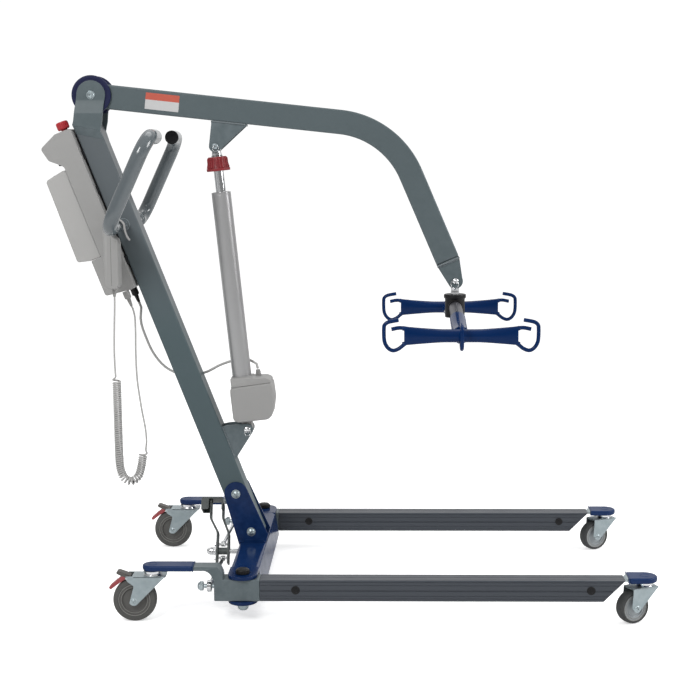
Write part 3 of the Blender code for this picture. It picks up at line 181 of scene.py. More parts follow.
def finish(name, colour, rough, metallic=0.0, vary=0.08, grain=900, relief=0.12, edge=None, wear=0.25, dust=None,
           streaks=None, coat=0.0, specular=0.5, painted_light_by_height=None):
    """A slightly uneven surface: broad colour drift, fine speckle and a fine bump. It may have worn edges, dust, or
    streaks along its length, and painted light: between two heights the colour turns into a lighter one, as if lit more
    above."""
    n = Nodes(f"{name}_finish")
    broad, fine = n.noise(7, 4), n.noise(260, 2)
    tone = n.blend(n.span(broad, 0, 1, 0.3, 0.7), shade(colour, 1 - vary), shade(colour, 1 + vary))
    tone = n.blend(n.span(fine, 0, 0.35, 0.35, 0.75), tone, shade(colour, 1 + 1.6 * vary))
    if dust is not None:
        tone = n.blend(n.times(n.span(n.noise(24, 5, 0.65), 0, 1, 0.52, 0.72), 0.3), tone, dust)
    if streaks is not None:
        lines = n.span(n.noise(1, 2, stretch=streaks), 0, 0.45, 0.35, 0.7)
        tone = n.blend(lines, tone, shade(colour, 1 + 2.2 * vary))
    if edge is not None:
        worn = n.times(n.edges(), n.span(n.noise(60, 4), 0.3, 1, 0.35, 0.65))
        tone = n.blend(n.times(worn, wear), tone, edge)
    # Painted light: between the given heights the colour turns lighter, standing in for more light on the upper part.
    if painted_light_by_height is not None:
        lit_colour, start, end = painted_light_by_height
        height = n.add("SeparateXYZ", {"Vector": n.place}).outputs["Z"]
        tone = n.blend(n.span(height, 0, 1, start, end), tone, lit_colour)
    n.set("Base Color", tone)
    n.set("Roughness", n.span(n.noise(16, 4), max(0.04, rough - 0.03), min(1, rough + 0.04), 0.3, 0.7))
    normal = n.bump(n.noise(grain, 2), relief)
    if streaks is not None:
        normal = n.bump(n.noise(1, 2, stretch=streaks), 0.05, Normal=normal)
    n.set("Normal", normal)
    n.set("Metallic", metallic)
    n.set("Specular IOR Level", specular)
    if coat:
        n.set("Coat Weight", coat)
        n.set("Coat Roughness", 0.12)
    return n.material


GREY_PAINT = finish("grey_paint", (0.086, 0.11, 0.118), 0.36, grain=650, relief=0.06, edge=(0.3, 0.34, 0.37),
                    wear=0.35, vary=0.02, specular=0.22)
# The mast's paint has painted light: it turns lighter between heights 0.62 and 0.92, standing in for light falling off
# lower down.
MAST_PAINT = finish("mast_paint", (0.075, 0.104, 0.113), 0.36, grain=650, relief=0.06, vary=0.02, specular=0.18,
                    painted_light_by_height=((0.108, 0.124, 0.134), 0.62, 0.92))
GLOSS_GREY = finish("handle_paint", (0.098, 0.115, 0.125), 0.16, grain=650, relief=0.03, coat=0.5, vary=0.02,
                    specular=0.45)
PEDAL_GREY = finish("pedal", (0.034, 0.044, 0.042), 0.38, grain=500, edge=(0.2, 0.22, 0.22), wear=0.4, specular=0.3)
LEG_GREY = finish("leg_grey", (0.054, 0.061, 0.073), 0.36, metallic=0.15, streaks=(0.6, 900, 900), vary=0.02,
                  specular=0.3)
TUBE_DARK = finish("cross_tube", (0.06, 0.06, 0.07), 0.4, metallic=0.25, streaks=(700, 2, 700), vary=0.04)
NAVY_PAINT = finish("navy_paint", (0.0014, 0.0135, 0.061), 0.2, grain=420, relief=0.06, edge=(0.05, 0.11, 0.3),
                    wear=0.3, coat=0.08, vary=0.05, specular=0.1)
NAVY_GLOSS = finish("navy_gloss", (0.001, 0.0175, 0.082), 0.16, grain=420, relief=0.03, edge=(0.05, 0.11, 0.3),
                    wear=0.15, coat=0.07, vary=0.04, specular=0.1)
NAVY_PLASTIC = finish("navy_plastic", (0.006, 0.024, 0.088), 0.4, grain=1500, relief=0.14, edge=(0.06, 0.11, 0.26),
                      vary=0.06, specular=0.18)
NAVY_DISC = finish("navy_disc", (0.008, 0.011, 0.046), 0.5, grain=1500, relief=0.14, edge=(0.08, 0.09, 0.18),
                   vary=0.06, specular=0.18)
ZINC = finish("zinc", (0.36, 0.42, 0.44), 0.36, metallic=0.8, grain=300, relief=0.06, vary=0.05,
              edge=(0.7, 0.76, 0.78), wear=0.5, dust=(0.3, 0.34, 0.34))
FORK_ZINC = finish("fork_zinc", (0.27, 0.325, 0.345), 0.34, metallic=0.8, grain=300, relief=0.06, vary=0.06,
                   edge=(0.7, 0.76, 0.78), wear=0.5, dust=(0.24, 0.28, 0.28))
CHROME = finish("chrome", (0.7, 0.71, 0.72), 0.12, metallic=1.0, grain=200, relief=0.02, vary=0.04)
BLACK = finish("black_plastic", (0.007, 0.007, 0.008), 0.46, grain=1400, relief=0.16, vary=0.15,
               edge=(0.03, 0.03, 0.033), wear=0.15, specular=0.25)
CASE = finish("case_plastic", (0.298, 0.296, 0.291), 0.5, grain=1600, relief=0.14, vary=0.02,
              edge=(0.46, 0.455, 0.45), wear=0.2, specular=0.3)
BATTERY_CASE = finish("battery_plastic", (0.385, 0.381, 0.373), 0.5, grain=1600, relief=0.14, vary=0.02,
                      edge=(0.5, 0.495, 0.49), wear=0.2, specular=0.3)
CASE_DARK = finish("seam", (0.09, 0.088, 0.085), 0.6, grain=1600)
ACTUATOR_GREY = finish("actuator_tube", (0.375, 0.375, 0.378), 0.3, metallic=0.55, grain=500, relief=0.04,
                       streaks=(700, 700, 2), vary=0.02)
RED = finish("red_plastic", (0.195, 0.014, 0.019), 0.42, grain=1400, relief=0.14, edge=(0.46, 0.1, 0.1), wear=0.4,
             specular=0.35)
STOP_RED = finish("stop_red", (0.42, 0.018, 0.026), 0.3, grain=1400, relief=0.08, vary=0.06,
                  edge=(0.6, 0.16, 0.16), wear=0.4, specular=0.4)
BRAKE_RED = finish("brake_red", (0.27, 0.04, 0.046), 0.42, grain=1400, edge=(0.66, 0.24, 0.24), wear=0.4,
                   specular=0.35)
BRAKE_GREY = finish("brake_grey", (0.08, 0.074, 0.068), 0.5, grain=1400, edge=(0.22, 0.21, 0.2), wear=0.4,
                    specular=0.35)
REAR_TYRE = finish("rear_tyre", (0.078, 0.078, 0.074), 0.64, grain=700, relief=0.25, dust=(0.19, 0.188, 0.18),
                   specular=0.3)
REAR_HUB = finish("rear_hub", (0.092, 0.09, 0.085), 0.52, grain=1200, vary=0.06, specular=0.35)
FRONT_TYRE = finish("front_tyre", (0.042, 0.044, 0.045), 0.6, grain=700, relief=0.25, vary=0.1,
                    dust=(0.1, 0.1, 0.095), specular=0.3)
FRONT_HUB = finish("front_hub", (0.28, 0.305, 0.32), 0.46, grain=1200, vary=0.04, edge=(0.5, 0.52, 0.54), wear=0.4)
BEAD = finish("wheel_bead", (0.23, 0.228, 0.215), 0.55, vary=0.06)
CORD = finish("cord", (0.4, 0.396, 0.388), 0.44, relief=0.1, vary=0.04, specular=0.35)
WELD = finish("weld", (0.135, 0.158, 0.17), 0.32, grain=420, relief=0.4, coat=0.2)
LABEL_WHITE = finish("label_white", (0.5, 0.5, 0.5), 0.4, relief=0.04, vary=0.03)
LABEL_RED = finish("label_red", (0.46, 0.08, 0.048), 0.4, relief=0.04, vary=0.04)
# Painted shadow: a near-black colour for the shade in the gap between the control box and the mast.
PAINTED_SHADOW = finish("shadow", (0.014, 0.015, 0.017), 0.8, grain=700, vary=0.15, specular=0.2)


# Mesh helpers. Each returns a bmesh in its own local frame, or points.

AXIS_TURNS = {"Z": Matrix.Identity(4), "Y": Matrix.Rotation(-math.pi / 2, 4, "X"),
              "X": Matrix.Rotation(math.pi / 2, 4, "Y")}


def soften(bm, width, segments):
    """Rounds every edge that turns by more than 32 degrees."""
    sharp = [e for e in bm.edges if len(e.link_faces) == 2 and e.calc_face_angle(0) > math.radians(32)]
    bmesh.ops.bevel(bm, geom=sharp, offset=width, offset_type="OFFSET", segments=segments, profile=0.5,
                    affect="EDGES", clamp_overlap=True)
    return bm


def closed(bm):
    bmesh.ops.recalc_face_normals(bm, faces=bm.faces)
    return bm


def join(bm, a, b):
    """Faces between two rows of points that each close on themselves."""
    for i in range(len(a)):
        j = (i + 1) % len(a)
        bm.faces.new((a[i], a[j], b[j], b[i]))


def prism(points, low, high, width=0.0, segments=2, plane="XZ"):
    """A flat outline with a thickness, from low to high across its plane."""
    put = {"XZ": lambda u, v, w: (u, w, v), "XY": lambda u, v, w: (u, v, w), "YZ": lambda u, v, w: (w, u, v)}[plane]
    bm = bmesh.new()
    near, far = ([bm.verts.new(put(u, v, w)) for u, v in points] for w in (low, high))
    bm.faces.new(near)
    bm.faces.new(far)
    join(bm, near, far)
    closed(bm)
    return soften(bm, width, segments) if width else bm


def both(points, inner, outer, width=0.0, segments=2):
    """The same plate on both sides of the middle."""
    return [prism(points, *sorted((sign * inner, sign * outer)), width, segments) for sign, _ in SIDES]


def block(low, high, width=0.0, segments=2):
    outline = [(low[0], low[2]), (high[0], low[2]), (high[0], high[2]), (low[0], high[2])]
    return prism(outline, low[1], high[1], width, segments)


def unit_circle(steps):
    """Points round a circle of radius 1. The last one is the first one again."""
    return [(math.cos(2 * math.pi * i / steps), math.sin(2 * math.pi * i / steps)) for i in range(steps + 1)]


def lathe(profile, steps=48, ring=False, axis="Z"):
    """A profile of (radius, height) points turned about an axis. A ring's profile closes on itself."""
    bm = bmesh.new()
    rows = []
    for r, z in profile:
        turns = unit_circle(steps)[:-1] if r > 1e-7 else [(0, 0)]
        rows.append([bm.verts.new((r * c, r * s, z)) for c, s in turns])
    for a, b in [*zip(rows, rows[1:]), *([(rows[-1], rows[0])] if ring else [])]:
        for i in range(steps):
            j = (i + 1) % steps
            corners = [a[i % len(a)], a[j % len(a)], b[j % len(b)], b[i % len(b)]]
            kept = [v for k, v in enumerate(corners) if v not in corners[:k]]
            if len(kept) > 2:
                bm.faces.new(kept)
    for row in (rows[0], rows[-1]):
        if not ring and len(row) > 1:
            bm.faces.new(row)
    return moved(closed(bm), AXIS_TURNS[axis])


def disc(radius, low, high, edge, axis="Z"):
    """A round disc with its rims rounded."""
    e = edge * 0.3
    return lathe([(radius - edge, low), (radius - e, low + e), (radius, low + edge), (radius, high - edge),
                  (radius - e, high - e), (radius - edge, high)], 40, axis=axis)


def tube(path, radius, sides=20, caps=True):
    """A round bar along a path. The radius may be one number or one for each point."""
    path = [Vector(p) for p in path]
    radii = radius if isinstance(radius, list) else [radius] * len(path)
    bm = bmesh.new()
    rows = []
    side = None
    for i, point in enumerate(path):
        run = (path[min(i + 1, len(path) - 1)] - path[max(i - 1, 0)]).normalized()
        if side is None:
            side = run.orthogonal().normalized()
        side = (side - run * side.dot(run)).normalized()
        other = run.cross(side)
        rows.append([bm.verts.new(point + (side * c + other * s) * radii[i]) for c, s in unit_circle(sides)[:-1]])
    for a, b in zip(rows, rows[1:]):
        join(bm, a, b)
    if caps:
        bm.faces.new(rows[0][::-1])
        bm.faces.new(rows[-1])
    return closed(bm)


def bushing(bore, radius, half, edge, steps, axis):
    """A ring round an axis, from -half to half, with its outer rims cut by (inwards, along)."""
    inwards, along = edge
    upper = [(radius, half - along), (radius - inwards, half), (bore, half)]
    return lathe([(r, -z) for r, z in reversed(upper)] + upper, steps, ring=True, axis=axis)


def weld(path, thick, swing, rate, sides=10):
    """A bead along a path, whose thickness wanders."""
    return tube(path, [thick + swing * math.sin(i * rate) for i in range(len(path))], sides)


def hexagon(radius, low, high, axis="Z"):
    """A nut or bolt head with its corners turned off."""
    points = [(radius * c, radius * s) for c, s in unit_circle(6)[:-1]]
    return moved(prism(points, low, high, 0.0006, plane="XY"), AXIS_TURNS[axis])


def button_head(radius, height, x, y, z, axis, steps=32):
    """A low domed screw head with a recess, standing at a place and looking along an axis such as -Y."""
    profile = [(0, height * 0.45), (radius * 0.3, height * 0.45), (radius * 0.34, height)]
    profile += [(radius * math.cos(a), height * math.sin(a)) for a in (1.05, 0.8, 0.55, 0.3, 0.1)]
    return moved(lathe([*profile, (radius, 0)], steps), facing(x, y, z, axis))


def bar(axis, steps, *profile):
    """A solid round bar from (radius, height) points."""
    return lathe(profile, steps, axis=axis)


def head_at(radius, height, reach):
    """A button head on the right-hand side of a bolt along Y."""
    return button_head(radius, height, 0, -reach, 0, (0, -1, 0))


def arc(cx, cz, radius, start, end, steps):
    turns = [math.radians(start + (end - start) * i / steps) for i in range(steps + 1)]
    return [(cx + radius * math.cos(a), cz + radius * math.sin(a)) for a in turns]


def rectangle(u0, v0, u1, v1):
    return [(u0, v0), (u1, v0), (u1, v1), (u0, v1)]


def rounded(points, radius, steps=4):
    """A closed outline with each corner cut by a curve."""
    out = []
    for i in range(len(points)):
        a, b, c = (Vector(points[k % len(points)]) for k in (i - 1, i, i + 1))
        r = min(radius, (a - b).length * 0.45, (c - b).length * 0.45)
        p, q = b + (a - b).normalized() * r, b + (c - b).normalized() * r
        for t in (k / steps for k in range(steps + 1)):
            out.append(tuple((1 - t) ** 2 * p + 2 * t * (1 - t) * b + t * t * q))
    return out


def fillet(points, radius, steps):
    """A path with its corners rounded by true arcs."""
    points = [Vector(p) for p in points]
    path = [points[0]]
    for before, corner, after in zip(points, points[1:], points[2:]):
        back, ahead = (before - corner).normalized(), (after - corner).normalized()
        half = back.angle(ahead) / 2
        centre = corner + (back + ahead).normalized() * radius / math.sin(half)
        start, end = (corner + way * radius / math.tan(half) - centre for way in (back, ahead))
        path += [centre + start.normalized().slerp(end.normalized(), i / steps) * radius for i in range(steps + 1)]
    return [*path, points[-1]]


def smooth(points, spacing):
    """Points at about the given spacing on a smooth curve through a route's own points."""
    points = [Vector(p) for p in points]
    ends = [2 * points[0] - points[1], *points, 2 * points[-1] - points[-2]]
    dense = []
    for a, b, c, d in zip(ends, ends[1:], ends[2:], ends[3:]):
        for t in (i / 20 for i in range(20)):
            dense.append(0.5 * (2 * b + (c - a) * t + (2 * a - 5 * b + 4 * c - d) * t**2
                                + (3 * b - a - 3 * c + d) * t**3))
    return respaced([*dense, points[-1]], spacing)


def respaced(line, spacing):
    """The same line with points at an even spacing."""
    lengths = [0.0]
    for a, b in zip(line, line[1:]):
        lengths.append(lengths[-1] + (b - a).length)
    count = max(2, round(lengths[-1] / spacing))
    path, at = [], 0
    for i in range(count + 1):
        goal = lengths[-1] * i / count
        while at < len(line) - 2 and lengths[at + 1] < goal:
            at += 1
        share = (goal - lengths[at]) / max(1e-12, lengths[at + 1] - lengths[at])
        path.append(line[at].lerp(line[at + 1], share))
    return path


def moved(bm, matrix):
    bm.transform(matrix)
    return bm


def shift(bm, x=0.0, y=0.0, z=0.0):
    return moved(bm, Matrix.Translation((x, y, z)))


def facing(x, y, z, axis):
    """Puts what stands on z = 0 at a place, looking along an axis."""
    return Matrix.Translation((x, y, z)) @ Vector(axis).to_track_quat("Z", "X").to_matrix().to_4x4()


def piece(name, body, matrix, node, slot, *groups):
    """One visible object, riding on a body and standing for a CAD node. Each group is a material and its shapes."""
    mesh = bpy.data.meshes.new(name)
    whole = bmesh.new()
    for material, *shapes in groups:
        if material.name not in mesh.materials:
            mesh.materials.append(material)
        index = mesh.materials.find(material.name)
        for bm in shapes:
            for face in bm.faces:
                face.material_index = index
                face.smooth = True
            part = bpy.data.meshes.new("part")
            bm.to_mesh(part)
            bm.free()
            whole.from_mesh(part)
            bpy.data.meshes.remove(part)
    whole.transform(matrix)
    whole.to_mesh(mesh)
    whole.free()
    mesh.set_sharp_from_angle(angle=math.radians(38))
    obj = bpy.data.objects.new(name, mesh)
    bpy.context.scene.collection.objects.link(obj)
    obj.modifiers.new("normals", "WEIGHTED_NORMAL").keep_sharp = True
    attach(obj, body)
    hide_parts(node)


# Cords. The handset's cord is one spring cord: thin at both ends, wound in the middle.

def turning_along(route, window):
    """How sharply a closely spaced route bends at each of its points, in radians for each metre."""
    pitch = (route[1] - route[0]).length
    out = []
    for i in range(len(route)):
        a, b = max(1, i - window), min(len(route) - 2, i + window)
        out.append((route[a] - route[a - 1]).angle(route[b + 1] - route[b]) / ((b - a) * pitch))
    return out


def wound(route):
    """A spring cord's line round a route. The turns open out at both ends and where the route bends."""
    bends = turning_along(route, 20)
    side, phase, travelled = Vector((0, -1, 0)), 0.0, 0.0
    points = []
    total = sum((b - a).length for a, b in zip(route, route[1:]))
    for i, place in enumerate(route):
        run = (route[min(i + 1, len(route) - 1)] - route[max(i - 1, 0)]).normalized()
        side = (side - run * side.dot(run)).normalized()
        inner = max(0.2, 1 - (COIL_TURN_RADIUS + 0.0002) * max(bends[max(0, i - 25):i + 26]))
        gap = max(COIL_PITCH, CORD_DIAMETER * 0.8 / inner)
        step = (place - route[i - 1]).length if i else 0
        travelled += step
        ramp = min(1, travelled / COIL_LEAD, (total - travelled) / COIL_LEAD)
        phase += 2 * math.pi * step / gap * ramp * ramp
        points.append(place + (side * math.cos(phase) + run.cross(side) * math.sin(phase)) * COIL_TURN_RADIUS)
    return points


def eased(points, first, last):
    """Points shifted by one offset at the start, turning smoothly into another at the end."""
    out = []
    for i, point in enumerate(points):
        t = i / (len(points) - 1)
        t = t * t * (3 - 2 * t)
        out.append(Vector(point) + first * (1 - t) + last * t)
    return out


def beside_handset(*points):
    """Places from their X, how far left of the handset's middle they are, and Z."""
    return [BASE @ Vector((x, HANDSET_Y + left, z)) for x, left, z in points]


def handset_cord():
    upper = smooth(beside_handset((-0.065, 0, 0.7277), (-0.0655, 0, 0.7), (-0.0672, 0, 0.65), (-0.068, 0, 0.6),
                                  (-0.0672, 0, 0.56), (-0.066, 0, 0.5397)), 0.004)
    route = smooth(beside_handset((-0.066, 0, 0.5397), (-0.0655, 0, 0.52), (-0.0652, 0, 0.47), (-0.065, 0, 0.42),
                                  (-0.0648, 0, 0.37), (-0.0645, 0.001, 0.338), (-0.0628, 0.003, 0.311),
                                  (-0.0546, 0.005, 0.288), (-0.0385, 0.008, 0.279), (-0.0225, 0.011, 0.2885),
                                  (-0.0142, 0.013, 0.312), (-0.01, 0.015, 0.338), (-0.007, 0.017, 0.357)), 0.0004)
    rise = beside_handset((-0.007, 0.017, 0.357), (-0.005, 0.019, 0.376), (-0.007, 0.026, 0.41),
                          (-0.015, 0.037, 0.46), (-0.0245, 0.049, 0.52), (-0.0285, 0.061, 0.58),
                          (-0.0295, 0.071, 0.63), (-0.0315, 0.08, 0.665))
    tail = smooth([*rise, *(MAST @ Vector((SOCKET_X, SOCKET_Y, z)) for z in (0.64, 0.6517))], 0.004)
    coil = wound(route)
    none = Vector((0, 0, 0))
    upper = eased(upper, none, coil[0] - route[0])
    turn_off = len(tail) // 3
    tail = eased(tail[:turn_off], coil[-1] - route[-1], none) + tail[turn_off:]
    line = respaced(smooth(upper[::4], 0.001) + coil[1:] + smooth(tail[1::3] + [tail[-1]], 0.001), 0.0033)
    curve = bpy.data.curves.new("handset_cord", "CURVE")
    curve.dimensions = "3D"
    curve.bevel_depth = CORD_DIAMETER / 2
    curve.bevel_resolution = 3
    curve.use_fill_caps = True
    spline = curve.splines.new("POLY")
    spline.points.add(len(line) - 1)
    for target, point in zip(spline.points, line):
        target.co = (*point, 1)
    spline.use_smooth = True
    curve.materials.append(CORD)
    cord = bpy.data.objects.new("handset_cord", curve)
    bpy.context.scene.collection.objects.link(cord)
    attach(cord, "base")
    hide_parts("handset_cord_upper", "handset_cord_coil", "handset_cord_tail")


def repaint(node, material):
    """A CAD node that stays, in a better material."""
    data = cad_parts[node].data
    data.materials.clear()
    data.materials.append(material)


handset_cord()
repaint("motor_cable", CORD)


# Base: crossmember, leg pivots and mast

def at_leg_pivot(side):
    return BASE @ Matrix.Translation((LEG_PIVOT_X, side * LEG_Y, 0))


def crossmember():
    lug_radius, lug_inner = 0.034, 0.25
    section = rounded([(0.216, 0.108), (0.281, 0.108), (0.292, 0.042), (0.205, 0.042)], 0.007)
    shapes = [prism(section, -0.262, 0.262, 0.0012)]
    centre = MAST_IN_BASE @ Vector((0.0005, 0, 0.128))
    cheek = [(0.2861, 0.1254), (0.2845, 0.122), (0.279, 0.1), (0.2135, 0.1)]
    cheek += arc(centre.x, centre.z, 0.0295, 194, 24.5, 20)
    for side, _ in SIDES:
        lug = [(LEG_PIVOT_X + lug_radius, side * lug_inner)]
        lug += arc(LEG_PIVOT_X, side * LEG_Y, lug_radius, 0, side * 180, 28)
        lug.append((LEG_PIVOT_X - lug_radius, side * lug_inner))
        shapes += [prism(lug, low, low + 0.008, 0.0018, 3, "XY") for low in (0.1005, 0.0415)]
        shapes.append(prism(cheek, *sorted((side * 0.0313, side * 0.0363)), 0.0013))
        bead = [(0.215 + 0.063 * i / 24, side * 0.0372, 0.1088 + 0.0004 * math.sin(i * 2.1)) for i in range(25)]
        shapes.append(weld(bead, 0.0021, 0.0003, 2.7))
    gusset = rounded([(0.224, 0.108), (0.276, 0.108), (0.274, 0.116), (0.227, 0.116)], 0.004)
    piece("crossmember_body", "base", BASE, "crossmember", "blue_paint",
          (NAVY_PAINT, *shapes, *both(gusset, 0.0363, 0.041, 0.001)))


def leg_pivot_bolts():
    for side, label in SIDES:
        cap = lathe([(0, 0.1215), (0.008, 0.1213), (0.0122, 0.1204), (0.0146, 0.1184), (0.0154, 0.1155),
                     (0.0156, 0.11), (0.015, 0.1094), (0, 0.1094)], 40)
        grip = [tube([(0.0156 * c, 0.0156 * s, z) for z in (0.1102, 0.1172)], 0.0007, 8)
                for c, s in unit_circle(18)[:-1]]
        shank = lathe([(0.006, 0.1094), (0.006, 0.041), (0.0135, 0.041), (0.0137, 0.038), (0.013, 0.031),
                       (0.0112, 0.0262), (0.008, 0.0232), (0.004, 0.0222), (0, 0.022)], 40)
        piece(f"leg_pivot_bolt_{label}", "base", at_leg_pivot(side), f"{label}_leg_pivot_bolt", "zinc",
              (BLACK, cap), (ZINC, shank), (BLACK, *grip))


def mast():
    half_x, half_y, low, high = 0.029, 0.031, 0.012, 1.0947
    section = rounded(rectangle(-half_x, -half_y, half_x, half_y), 0.0045, 5)
    groups = [(MAST_PAINT, prism(section, low, high, plane="XY"))]
    pin, handle = (MAST_IN_BASE.inverted() @ Vector(p) for p in (ACTUATOR_FOOT, (HANDLE_X, 0, HANDLE_Z)))
    ear = [(half_x - 0.001, 0.208), (half_x + 0.002, 0.208), *arc(pin.x, pin.z, 0.015, -60, 75, 14)]
    ear += [(half_x + 0.014, 0.293), (half_x + 0.002, 0.295), (half_x - 0.001, 0.295)]
    for side, _ in SIDES:
        bead = [(half_x + 0.0005, side * 0.0236, 0.209 + 0.085 * i / 30) for i in range(31)]
        groups += [(GREY_PAINT, prism(ear, side * 0.0205 - 0.0025, side * 0.0205 + 0.0025, 0.001)),
                   (WELD, weld(bead, 0.0017, 0.0004, 2.3))]
    wedge = [(half_x - 0.001, 0.21), (half_x + 0.014, 0.228), (half_x + 0.014, 0.233), (half_x - 0.001, 0.233)]
    groups.append((GREY_PAINT, prism(rounded(wedge, 0.002), -0.018, 0.018, 0.0008)))
    for side, _ in SIDES:
        ring = [(handle.x + 0.014 * c, side * 0.0312, handle.z + 0.014 * s) for c, s in unit_circle(32)]
        groups.append((WELD, weld(ring, 0.0017, 0.0003, 2.9, 8)))
    piece("mast_column", "base", MAST, "mast_tube", "grey_paint", *groups)


def mast_bolts():
    reach = 0.0364
    for label, along in (("lower", 0.0255), ("upper", 0.128)):
        piece(f"mast_bolt_{label}_steel", "base", MAST @ Matrix.Translation((0, 0, along)), f"mast_bolt_{label}",
              "zinc", (ZINC, head_at(0.0095, 0.006, reach),
                       disc(0.011, -reach - 0.0008, -reach + 0.0002, 0.0003, "Y"),
                       bar("Y", 24, (0.005, -reach), (0.005, reach + 0.0105), (0.0045, reach + 0.011)),
                       hexagon(0.0095, reach, reach + 0.0075, "Y")))


def mast_head():
    """Two ears, flat round the arm's bolt. Below it they step out, and at their foot they slope back to the mast."""
    x, z = BOOM_PIVOT[0], BOOM_PIVOT[2]
    to_base = BASE.inverted() @ MAST
    rear, front = to_base @ Vector((-0.029, 0, 1.105)), to_base @ Vector((0.029, 0, 1.068))
    ear = arc(x, z, 0.0345, 0, 180, 30)
    ear += [(x - 0.0375, 1.182), (x - 0.0395, 1.17), (x - 0.0415, 1.155), (x - 0.0437, 1.139), (rear.x, rear.z)]
    ear += [(front.x, front.z), (x + 0.0235, 1.128), (x + 0.0262, 1.14), (x + 0.027, 1.152), (x + 0.03, 1.178)]
    step_low, step_high, pinch = 1.16, 1.188, 0.0045
    shear = Matrix.Identity(4)
    shear[2][0] = -0.037 / 0.058
    shapes = []
    for side, _ in SIDES:
        plate = prism(ear, *sorted((side * 0.0315, side * 0.039)), 0.0012, 3)
        for level in (step_low - 0.0025, step_low, step_high, step_high + 0.004):
            bmesh.ops.bisect_plane(plate, geom=[*plate.verts, *plate.edges, *plate.faces], plane_co=(0, 0, level),
                                   plane_no=(0, 0, 1))
        for vertex in plate.verts:
            if abs(vertex.co.y) > 0.035:
                rise = (vertex.co.z - step_low) / (step_high - step_low)
                vertex.co.y -= side * pinch * min(1, max(0, rise))
        ramp = [(side * y, level) for y, level in ((0.03, 1.0865), (0.0389, 1.0865), (0.0384, 1.084),
                                                   (0.0313, 1.064), (0.03, 1.064))]
        shapes += [plate, moved(prism(ramp, -0.0287, 0.0287, 0.0006, plane="YZ"), to_base @ shear)]
    wedge = prism([(-0.0288, 1.09), (0.0288, 1.09), (0.0288, 1.0947), (-0.0288, 1.107)], -0.031, 0.031)
    cap = block((-0.029, -0.0335, 1.095), (0.029, 0.0335, 1.0995), 0.0012)
    piece("mast_head_ears", "base", BASE, "mast_head", "grey_paint",
          (GREY_PAINT, *shapes, moved(wedge, to_base), moved(cap, to_base)))


def pivot_bolt():
    reach = 0.0348
    piece("boom_pivot_steel", "base", BASE @ Matrix.Translation(BOOM_PIVOT), "boom_pivot_bolt", "zinc",
          (ZINC, head_at(0.0092, 0.0062, reach),
           disc(0.01, -reach - 0.0006, -reach + 0.0004, 0.0003, "Y"),
           bar("Y", 28, (0.008, -reach), (0.008, reach + 0.011), (0.007, reach + 0.012)),
           hexagon(0.0125, reach, reach + 0.009, "Y")))


def split_ring(x, y, z, radius, wire, turn):
    """A key ring of two turns through a pin's hole."""
    tilt = placed((x, y, z), turn, "Z")
    turns = [(math.pi * i / 16, wire * 1.9 * (i / 64 - 0.5)) for i in range(65)]
    points = [tilt @ Vector((radius * math.sin(a), along, radius * (math.cos(a) - 1))) for a, along in turns]
    return tube(points, wire / 2, 10)


def actuator_pin():
    piece("actuator_pin_steel", "base", BASE @ Matrix.Translation(ACTUATOR_FOOT), "actuator_pin", "chrome",
          (CHROME, head_at(0.0085, 0.004, 0.0233), bar("Y", 24, (0.005, -0.0235), (0.005, 0.029), (0.0042, 0.03)),
           bar("Y", 20, (0.0036, -0.0233), (0.0036, -0.0285), (0.003, -0.0292)),
           split_ring(0.002, -0.0284, 0.0012, 0.0075, 0.0012, 0.25)))


def handles():
    groups = [(GLOSS_GREY, tube([(HANDLE_X, -0.212, HANDLE_Z), (HANDLE_X, 0.212, HANDLE_Z)], 0.013, 32))]
    for side, _ in SIDES:
        route = [(HANDLE_X, side * (HANDLE_Y - 0.056), HANDLE_Z), (HANDLE_X, side * HANDLE_Y, HANDLE_Z)]
        route += [(HANDLE_TOP_X, side * HANDLE_Y, HANDLE_TOP_Z), (HANDLE_TOP_X, side * 0.14, HANDLE_TOP_Z)]
        collar = [(HANDLE_X, side * (HANDLE_Y - 0.0565 - 0.0025 * i), HANDLE_Z) for i in range(3)]
        groups += [(GLOSS_GREY, tube(fillet(route, 0.048, 14), 0.0172, 36)),
                   (WELD, tube(collar, [0.0168, 0.0155, 0.0132], 32))]
    piece("handle_bars", "base", BASE, "push_handle", "grey_paint", *groups)
    for side, label in SIDES:
        plug = lathe([(0.0172, 0), (0.0172, -0.001), (0.0166, -0.0022), (0.015, -0.003), (0.0118, -0.0034),
                      (0, -0.0024)], 36)
        piece(f"handle_plug_{label}", "base", BASE @ facing(HANDLE_TOP_X, side * 0.1397, HANDLE_TOP_Z, (0, side, 0)),
              f"{label}_handle_plug", "black_plastic", (BLACK, plug))


crossmember()
leg_pivot_bolts()
mast()
mast_bolts()
mast_head()
pivot_bolt()
actuator_pin()
handles()


# Control box, battery, stop button and sockets

def ribbed_boot(x, y, top, low, wide, thin, count=7):
    """A strain relief: rings that get smaller towards the cord."""
    step = (top - low) / count
    profile = [(wide, top)]
    for i in range(count):
        z = top - step * (i + 0.3)
        r = wide + (thin - wide) * (i + 0.5) / count
        profile += [(r, z), (r, z - step * 0.35), (r * 0.8, z - step * 0.45), (r * 0.8, z - step * 0.7)]
    profile.append((thin * 0.85, low))
    return shift(lathe(profile, 24), x, y)


